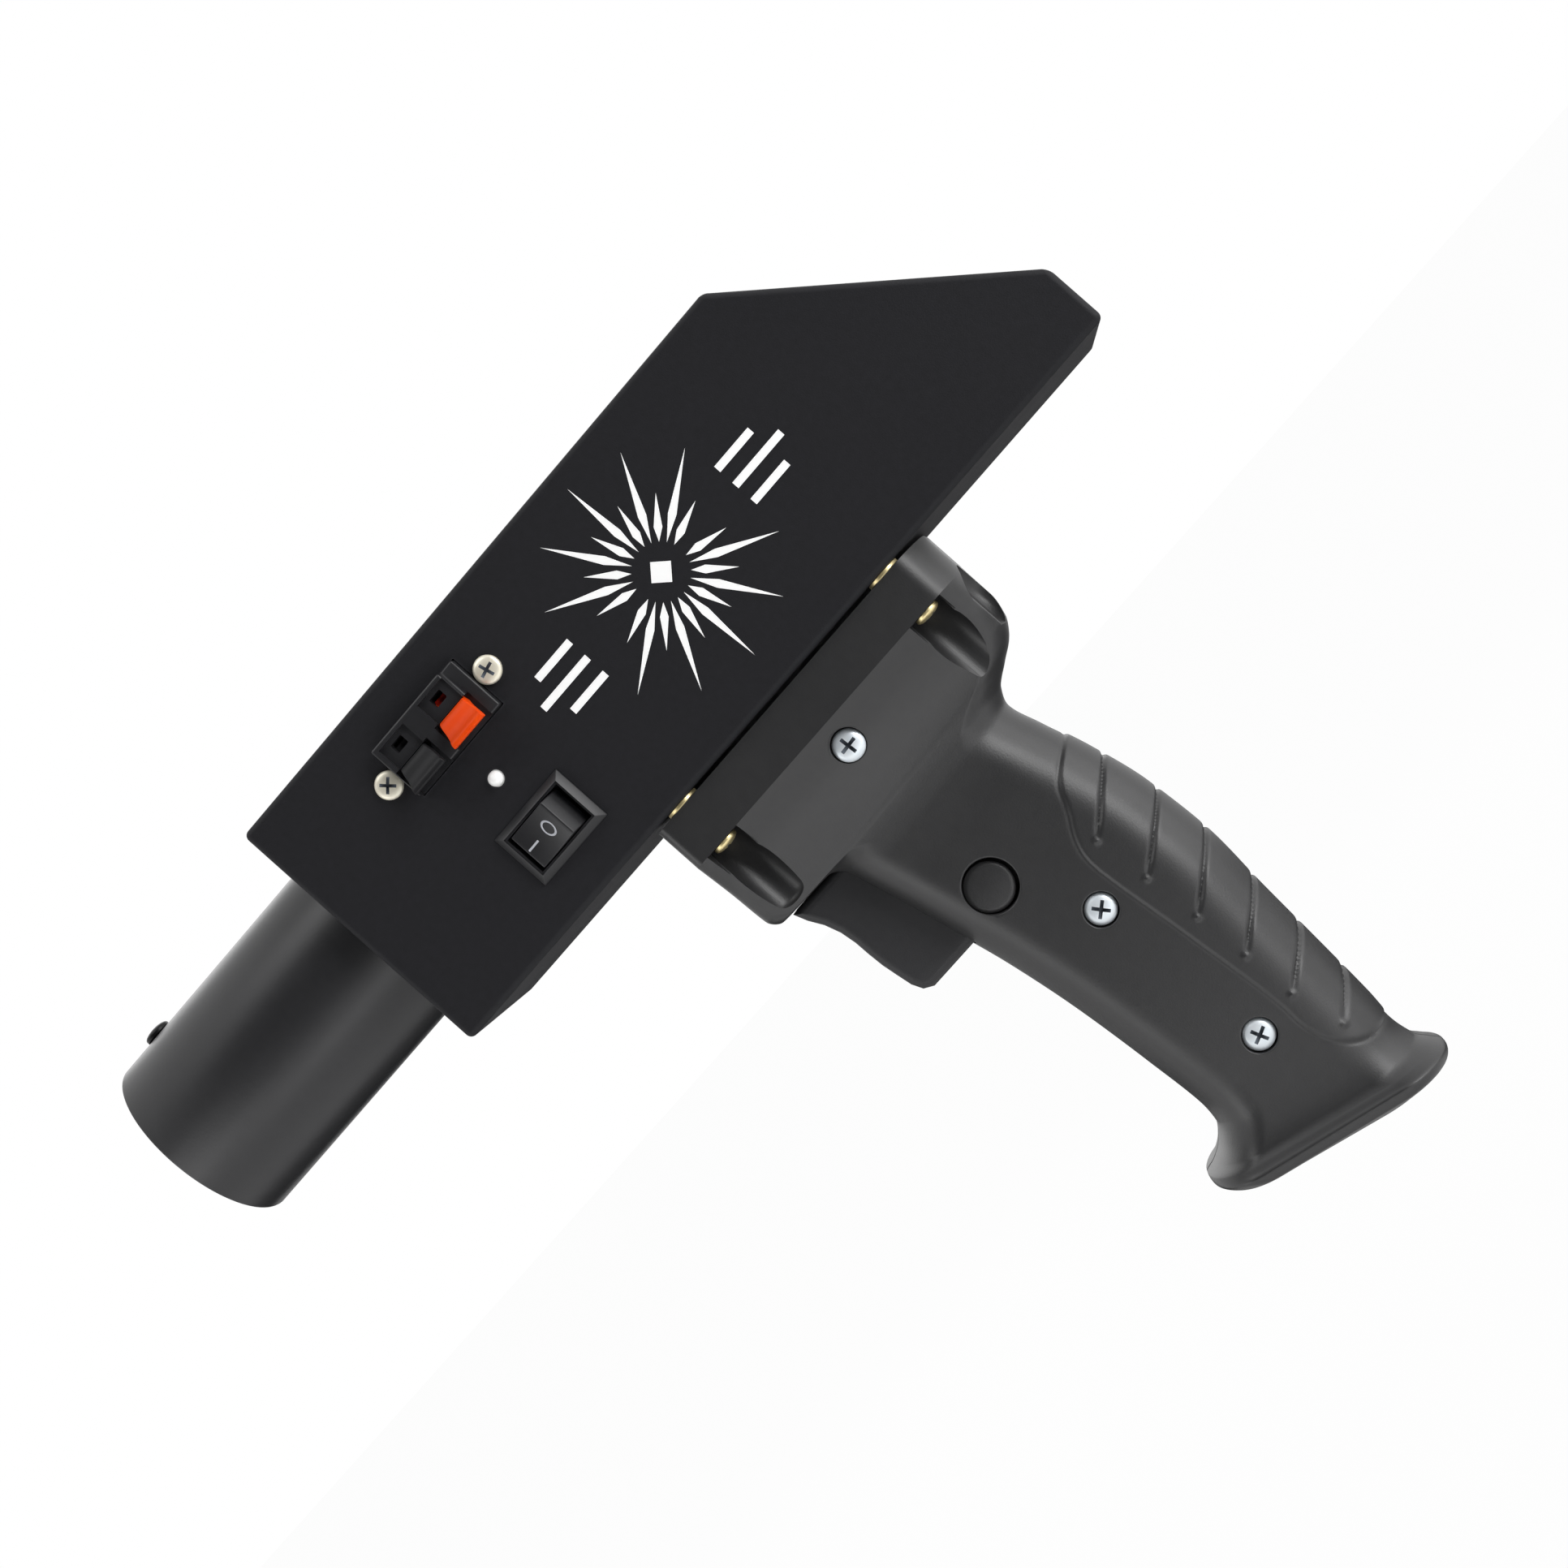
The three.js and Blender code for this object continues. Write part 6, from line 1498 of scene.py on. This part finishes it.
@dataclass(frozen=True)
class GripShells:
    """The grip's two moulded halves with their pockets, recesses and screws.

    Each grip screw gives its name, run and height, how far out the skin lies there and its turn.
    """

    form: GripForm = GripForm()
    panel: PalmPanel = PalmPanel()
    mount_x: tuple[float, float] = (70.4, 137.0)
    mount_y: float = 24.5
    pocket_radius: float = 4.8
    pocket_y: float = 22.6
    pocket_low: float = -67.6
    flange_foot: float = -46.5
    screws: tuple[tuple[str, float, float, float, float], ...] = (
        ("top", 104.1, -53.3, 24.6, 4.0),
        ("middle", 113.2, -118.7, 17.0, 35.0),
        ("lower", 115.6, -162.8, 17.0, 20.0),
    )
    panel_top: float = -78.0
    seam_depth: float = 0.22
    seam_width: float = 0.3
    well_round: float = 2.2
    end_rounds: tuple[float, float] = (2.6, 4.6)
    outside: float = 40.0
    screw_sink: float = 2.6
    recess_radius: float = 4.05
    recess_flare: float = 0.3
    rear_x: float = 148.7
    rear_recess: tuple[float, float, float, float] = (11.7, -53.5, 9.6, 8.8)
    rear_recess_depth: float = 3.2
    lock_recess: float = 6.4
    lock_recess_shift: float = 0.25
    lock_recess_depth: float = 5.7
    slot_top: float = -69.0
    slot_bottom: float = -104.1
    slot_half: float = 8.0
    slot_runs: tuple[float, float] = (55.0, 102.8)
    washer_level: float = -34.95

    def _skin(self, name: str, side: int) -> Piece:
        """One half as a closed solid with the palm panel's relief."""
        rings = np.array([self.form.ring(row) for row in self.form.rows()])
        rows, columns = rings.shape[:2]
        along = np.gradient(rings, axis=0)
        round_ = np.gradient(rings, axis=1)
        normal = np.cross(round_, along)
        length = np.linalg.norm(normal, axis=2, keepdims=True)
        normal = normal / np.maximum(length, 1e-9)
        centre = rings.mean(axis=1, keepdims=True)
        outward = np.sign(((rings - centre) * normal).sum(axis=2).mean())
        flat = rings.reshape(-1, 3)
        lift = self.panel.relief(flat[:, [0, 2]])
        lift = np.where(flat[:, 2] < self.panel_top, lift, 0.0)
        away = np.abs(flat[:, 1]) - self.form.split
        lift = lift - self.seam_depth * np.exp(-((away / self.seam_width) ** 2))
        shaped = flat + (normal * outward).reshape(-1, 3) * lift[:, None]
        middle = np.zeros((rows, columns), bool)
        middle[:, 0] = middle[:, -1] = True
        shaped[middle.ravel(), 1] = -self.form.split
        shaped[:columns, 2] = self.form.top
        shaped[:, 1] *= -side
        index = np.arange(rows * columns).reshape(rows, columns)
        quads = np.stack([index[:-1, :-1], index[:-1, 1:], index[1:, 1:], index[1:, :-1]], axis=2).reshape(-1, 4)
        faces = [tuple(int(i) for i in quad) for quad in quads]
        faces.append(tuple(int(i) for i in index[0]))
        faces.append(tuple(int(i) for i in index[-1][::-1]))
        faces.append(tuple(int(i) for i in np.concatenate([index[:, 0], index[::-1, -1]])))
        return face_outwards(mesh_piece(name, shaped * MM, [], faces))

    def _cuts(self, side: int) -> list[Piece]:
        """The cutters of one half."""
        tools = [self._pocket(x, side, end_round) for x, end_round in zip(self.mount_x, self.end_rounds)]
        front, rear = self.slot_runs
        low, high = (front, -self.slot_half, self.slot_bottom), (rear, self.slot_half, self.slot_top)
        tools += [block("slot", low, high), self._rear_recess(side)]
        if side < 0:
            tools += [self._screw_recess((x, -outer, z)) for _, x, z, outer, _ in self.screws]
            tools.append(self._lock_dish())
        return tools

    def _pocket(self, x: float, side: int, end_round: float) -> Piece:
        """A mounting screw's pocket: a round well that opens to the side as a channel."""
        radius, low = self.pocket_radius, self.pocket_low
        well = drum("pocket", radius, Axis.Z, (x, side * self.pocket_y, 0), low, self.flange_foot, 64)
        round_edges(well, lambda a, b: a.z < low + 0.01 and b.z < low + 0.01, self.well_round, 5)
        inner, outer = sorted((side * self.mount_y, side * self.outside))
        channel = block("channel", (x - radius, inner, low), (x + radius, outer, self.flange_foot))
        round_edges(channel, lambda a, b: abs(a.y - b.y) > 1 and a.z < low + 0.01, end_round, 8)
        return worked(well, Cut.JOIN, channel)

    def _rear_recess(self, side: int) -> Piece:
        """The oval recess in the rear face of one half."""
        across, level, wide, high = self.rear_recess
        depth = self.rear_recess_depth
        profile = [(0, -depth), (0.84, -depth), (0.95, -depth * 0.75), (1.0, -depth * 0.4), (1.0, 4), (0, 4)]
        recess = spun("recess", profile, Axis.X, ORIGIN, 64)
        scale = Matrix.Diagonal((1, wide, high, 1))
        return moved(recess, Matrix.Translation(Vector((self.rear_x, side * across, level)) * MM) @ scale)

    def _lock_dish(self) -> Piece:
        """The lock button's well with a rounded mouth."""
        radius, depth = self.lock_recess, self.lock_recess_depth
        dish = [(0, 0.4), (0.04, 0.24), (0.13, 0.1), (0.27, 0.02), (0.42, -0.05), (0.42, -4)]
        profile = [(0, depth), (radius, depth), *((radius + out, level) for out, level in dish), (0, -4)]
        place = (LOCK_X + self.lock_recess_shift, -self.form.handle_half, LOCK_Z)
        return spun("dish", profile, Axis.Y, place, 72)

    def _screw_recess(self, place: Place) -> Piece:
        """A grip screw's round recess, whose mouth opens in a small round."""
        radius, flare, depth = self.recess_radius, self.recess_flare, self.screw_sink
        angles = [i / 5 * math.pi / 2 for i in range(1, 6)]
        mouth = [(radius + flare * (1 - math.cos(a)), flare * (1 - math.sin(a))) for a in angles]
        profile = [(0, depth), (radius, depth), (radius, flare), *mouth, (radius + flare, -6), (0, -6)]
        return spun("recess", profile, Axis.Y, place, 72)

    def build(self) -> None:
        """Builds both halves, the screws that join them and the mounting hardware."""
        for name, side in (("left", -1), ("right", 1)):
            half = self._skin(f"grip_{name}_fine", side)
            worked(half, Cut.AWAY, *self._cuts(side), solver="MANIFOLD")
            dressed(self._creased(smooth(half, 38)), GRIP_NYLON, "body", "grip_plastic", f"grip_{name}")
        places = tuple(
            (f"grip_screw_{name}", (x, self.screw_sink - outer - GAP, z), turn)
            for name, x, z, outer, turn in self.screws
        )
        ScrewSet(Screw(3.75, 2.5, 1.9, 12), ZINC, "zinc", TO_CONTROLS, places).build()
        self._mounting()

    def _creased(self, half: Piece) -> Piece:
        """Keeps the line under the flange's strip sharp."""
        corners = half.data.vertices
        for edge in half.data.edges:
            if all(abs(corners[i].co.z / MM - self.flange_foot) < 0.02 for i in edge.vertices):
                edge.use_edge_sharp = True
        return half

    def _mounting(self) -> None:
        """Builds the four mounting screws and the washers under the body."""
        spots = [(x, side * self.mount_y) for x in self.mount_x for side in (-1, 1)]
        places = tuple(
            (f"mount_screw_{name}", (x, y, self.flange_foot - GAP), 25.0 * i)
            for i, (name, (x, y)) in enumerate(zip(MOUNT_SPOTS, spots))
        )
        ScrewSet(Screw(3.2, 1.7, 1.9, 19.2), YELLOW_ZINC, "yellow_zinc", DOWNWARDS, places).build()
        profile = [(2.1, 0.1), (2.2, 0), (4.1, 0), (4.25, 0.15), (4.25, 0.75), (4.1, 0.9), (2.2, 0.9), (2.1, 0.8)]
        profile.append(profile[0])
        for name, (x, y) in zip(MOUNT_SPOTS, spots):
            washer = spun(f"mount_washer_{name}_fine", profile, Axis.Z, (x, y, self.washer_level), 48)
            dressed(smooth(washer), YELLOW_ZINC, "body", "yellow_zinc", f"mount_washer_{name}")


@dataclass(frozen=True)
class TriggerGroup:
    """The trigger, the lock button and their springs."""

    top: float = -69.2
    bottom: float = -103.8
    half_width: float = 7.7
    rear: float = 96.0
    travel: float = 6.5
    lock_face: float = -15.95
    lock_radius: float = 5.95
    lock_shift: float = -0.15
    notch_half: float = 2.6
    notch_depths: tuple[float, float] = (-8.2, -6.2)
    rim: float = 2.2
    pull_spring: tuple[float, float, float] = (85.3, 0.0, -81.0)
    push_spring: tuple[float, float, float] = (LOCK_X, -14.95, LOCK_Z)

    def trigger(self) -> Piece:
        """Models the finger piece with its rounded rim and the notch that the lock's stem enters."""
        edge = [(64.9, self.top), (66.1, -72.6), (67.9, -76.1), (69.1, -80.0), (69.6, -84.0), (69.65, -88.0)]
        edge += [(69.85, -92.0), (70.4, -96.0), (70.95, -99.7), (72.1, -102.4), (74.3, self.bottom)]
        outline = [*edge, (self.rear, self.bottom), (self.rear, self.top)]
        piece = plate("trigger_fine", outline, Axis.Y, -self.half_width, self.half_width)
        round_edges(piece, self._on_rim, self.rim, 5)
        front, rear = LOCK_X - self.travel - self.notch_half, self.rear + 1
        outer, inner = self.notch_depths
        low, high = LOCK_Z - self.notch_half, LOCK_Z + self.notch_half
        notch = block("hole", (front, outer, low), (rear, inner, high))
        return smooth(worked(piece, Cut.AWAY, notch, solver="MANIFOLD"), 40)

    def _on_rim(self, first: Vector, last: Vector) -> bool:
        """Whether an edge runs along the rim of the finger piece."""
        level = abs(first.y - last.y) < 0.01
        rearward = first.x > self.rear - 0.1 and last.x > self.rear - 0.1
        return level and abs(abs(first.y) - self.half_width) < 0.01 and not rearward

    def button(self) -> Piece:
        """Models the lock button's rounded cap and stem."""
        face, radius = self.lock_face, self.lock_radius
        edge = [(-1.3, 0.02), (-0.6, 0.16), (-0.15, 0.5), (0, 1.0), (0, 2.0), (-1.2, 2.0), (-1.2, 0.9)]
        cap = [(radius + out, face + level) for out, level in edge]
        profile = [(0, face), *cap, (2, face + 0.9), (2, -9), (0, -9)]
        place = (LOCK_X + self.lock_shift, 0, LOCK_Z)
        return smooth(spun("lock_button_fine", profile, Axis.Y, place, 64))

    def spring(self, name: str, radius: float, wire: float, turns: int, length: float) -> Piece:
        """Models a coil spring that starts at the origin and runs up +Z."""
        start = {"location": (radius * MM, 0, wire / 2 * MM), "rotation": (math.pi / 2, 0, 0)}
        circle = added(bpy.ops.mesh.primitive_circle_add, vertices=8, radius=wire / 2 * MM, **start)
        piece = settled(circle, name)
        coil = piece.modifiers.new("coil", "SCREW")
        coil.steps = coil.render_steps = 24
        coil.iterations = turns
        coil.screw_offset = (length - wire) / turns * MM
        finish_modifier(piece, coil)
        with editing(piece):
            bpy.ops.mesh.fill_holes(sides=0)
        return smooth(face_outwards(piece))

    def build(self) -> None:
        """Builds the trigger, the button and both springs."""
        dressed(self.trigger(), TRIGGER_NYLON, "trigger", "trigger_plastic", "trigger")
        dressed(self.button(), GRIP_NYLON, "lock_button", "trigger_plastic", "lock_button")
        pull = self.spring("trigger_spring_fine", radius=3.2, wire=0.9, turns=6, length=17.2)
        moved(pull, Matrix.Translation(Vector(self.pull_spring) * MM) @ Axis.X.value)
        dressed(pull, SPRING_STEEL, "body", "spring_steel", "trigger_spring")
        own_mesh(pull)
        push = self.spring("lock_spring_fine", radius=3.4, wire=0.6, turns=3, length=3.3)
        moved(push, Matrix.Translation(Vector(self.push_spring) * MM) @ Axis.Y.value)
        dressed(push, SPRING_STEEL, "body", "spring_steel", "lock_spring")
        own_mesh(push)


@dataclass(frozen=True)
class InnerParts:
    """The CAD nodes that stay as they are, each with its finish."""

    finishes: tuple[tuple[Finish, tuple[str, ...]], ...] = (
        (NICKEL, ("red_contact", "black_contact", "terminal_nut_front", "terminal_nut_rear")),
        (STRIP_BRASS, ("switch_tab_front", "switch_tab_rear")),
        (YELLOW_ZINC, tuple(f"mount_nut_{spot}" for spot in MOUNT_SPOTS)),
        (SWITCH_BLACK, ("trigger_switch", "battery_holder")),
        (CELL_BLUE, ("battery_cell_1", "battery_cell_2")),
        (BOARD_GREEN, ("circuit_board",)),
        (WIRE_RED, ("trigger_loom", "battery_loom")),
    )

    def build(self) -> None:
        """Gives each node its material."""
        for finish, names in self.finishes:
            for name in names:
                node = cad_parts[name]
                node.data.materials.clear()
                node.data.materials.append(finish.material())


# Studio


@dataclass(frozen=True)
class Lamplight:
    """One soft area light, its place and the point it faces in metres from the object's middle."""

    name: str
    place: tuple[float, float, float]
    size: tuple[float, float]
    power: float
    aim: tuple[float, float, float] = (0.0, 0.0, 0.0)


@dataclass(frozen=True)
class BlackCard:
    """A black card that takes the white out of some reflections, placed from the object's middle."""

    name: str
    place: tuple[float, float, float]
    size: tuple[float, float]
    tilt: float
    mirrored_only: bool


@dataclass(frozen=True)
class Studio:
    """Floor, world, lights and the camera at the photograph's angle."""

    camera_place: tuple[float, float, float] = (0.15581, -0.53371, -0.05827)
    camera_right: tuple[float, float, float] = (0.65538, 0.10125, -0.74848)
    camera_up: tuple[float, float, float] = (0.74384, 0.08543, 0.66288)
    focal_pixels: float = 2900.0
    frame_pixels: float = 1932.0
    sensor: float = 36.0
    middle: tuple[float, float, float] = (0.07, 0.0, -0.08)
    floor_z: float = -0.30
    floor_glow: float = 0.975
    ambient: float = 0.2
    cards: tuple[BlackCard, ...] = (
        BlackCard("front_flag", (-0.02, -0.8, 0.0), (1.9, 1.9), 90.0, False),
        BlackCard("underlay", (0.0, 0.65, -0.215), (1.2, 1.0), 0.0, True),
    )
    lights: tuple[Lamplight, ...] = (
        Lamplight("key_softbox", (-0.12, -0.42, 0.78), (0.6, 0.3), 1.5),
        Lamplight("rear_softbox", (0.95, -0.66, 0.15), (0.55, 0.8), 10.0),
        Lamplight("side_softbox", (0.95, 0.04, 0.1), (0.5, 0.8), 1.9),
        Lamplight("low_softbox", (0.05, -0.31, -0.205), (0.9, 0.09), 0.48, (0.05, -0.2, 0.3)),
        Lamplight("front_softbox", (-0.65, -0.35, -0.05), (0.3, 0.4), 0.9),
        Lamplight("back_softbox", (-0.1, 0.7, 0.3), (0.8, 0.6), 1.8),
    )

    def build(self) -> None:
        """Builds the floor, the world, the lights and the camera."""
        self._floor()
        for card in self.cards:
            self._card(card)
        self._world()
        for light in self.lights:
            self._light(light)
        self._camera()
        bpy.context.scene.view_settings.view_transform = "Standard"

    def _floor(self) -> None:
        """A plain pale floor that reads as white but keeps the shadow."""
        floor = added(bpy.ops.mesh.primitive_plane_add, size=12, location=(0, 0, self.floor_z))
        settled(floor, "floor")
        material = bpy.data.materials.new("pale_floor")
        wiring = bare_wiring(material)
        share = wiring.math("MULTIPLY", wiring.seen(), self.floor_glow)
        diffuse = wiring.feed(wiring.node("ShaderNodeBsdfDiffuse"), color=(0.8, 0.8, 0.8, 1))
        glow = wiring.feed(wiring.node("ShaderNodeEmission"), color=(1, 1, 1, 1), strength=1.0)
        mix = wiring.node("ShaderNodeMixShader")
        for value, socket in zip((share, diffuse.outputs[0], glow.outputs[0]), mix.inputs):
            wiring.put(value, socket)
        wiring.surface(mix)
        floor.data.materials.append(material)

    def _card(self, card: BlackCard) -> None:
        """A black card that no camera sees."""
        place = Vector(self.middle) + Vector(card.place)
        sheet = added(bpy.ops.mesh.primitive_plane_add, size=1, location=place)
        sheet.scale = (*card.size, 1)
        sheet.rotation_euler = (math.radians(card.tilt), 0, 0)
        settled(sheet, card.name)
        sheet.visible_camera = False
        sheet.visible_transmission = False
        if card.mirrored_only:
            sheet.visible_diffuse = False
            sheet.visible_shadow = False
        material = bpy.data.materials.new(card.name)
        wiring = bare_wiring(material)
        wiring.surface(wiring.feed(wiring.node("ShaderNodeBsdfDiffuse"), color=(0.01, 0.01, 0.01, 1)))
        sheet.data.materials.append(material)

    def _world(self) -> None:
        """White where it is seen or mirrored, a softer grey for the light it gives."""
        world = bpy.data.worlds.new("studio")
        bpy.context.scene.world = world
        wiring = bare_wiring(world)
        strength = wiring.math("ADD", wiring.math("MULTIPLY", wiring.seen(), 1.0 - self.ambient), self.ambient)
        sky = wiring.feed(wiring.node("ShaderNodeBackground"), color=(1, 1, 1, 1), strength=strength)
        wiring.surface(sky, "ShaderNodeOutputWorld")

    def _light(self, light: Lamplight) -> None:
        """A soft area light that no camera sees."""
        data = bpy.data.lights.new(light.name, "AREA")
        data.shape = "RECTANGLE"
        data.size, data.size_y = light.size
        data.energy = light.power
        lamp = bpy.data.objects.new(light.name, data)
        bpy.context.scene.collection.objects.link(lamp)
        lamp.location = Vector(self.middle) + Vector(light.place)
        lamp.rotation_mode = "QUATERNION"
        lamp.rotation_quaternion = (Vector(light.aim) - Vector(light.place)).to_track_quat("-Z", "Y")
        lamp.visible_camera = False

    def _camera(self) -> None:
        """The camera, its place and turn recovered from the photograph."""
        data = bpy.data.cameras.new("camera")
        data.sensor_width = self.sensor
        data.lens = self.focal_pixels / self.frame_pixels * self.sensor
        data.clip_start, data.clip_end = 0.01, 50
        camera = bpy.data.objects.new("camera", data)
        bpy.context.scene.collection.objects.link(camera)
        right, up = Vector(self.camera_right), Vector(self.camera_up)
        back = right.cross(up).normalized()
        right = up.cross(back).normalized()
        turn = Matrix((right, up, back)).transposed().to_4x4()
        camera.matrix_world = Matrix.Translation(Vector(self.camera_place)) @ turn
        bpy.context.scene.camera = camera


def main() -> None:
    """Builds every sub-assembly in order, then the studio."""
    logging.basicConfig(level=logging.INFO, format="%(name)s: %(message)s")
    bpy.ops.object.select_all(action="DESELECT")
    Body().build()
    Barrel().build()
    PushTerminal().build()
    Lamp().build()
    RockerSwitch().build()
    PanelPrint().build()
    GripShells().build()
    TriggerGroup().build()
    InnerParts().build()
    Studio().build()


if __name__ == "__main__":
    main()
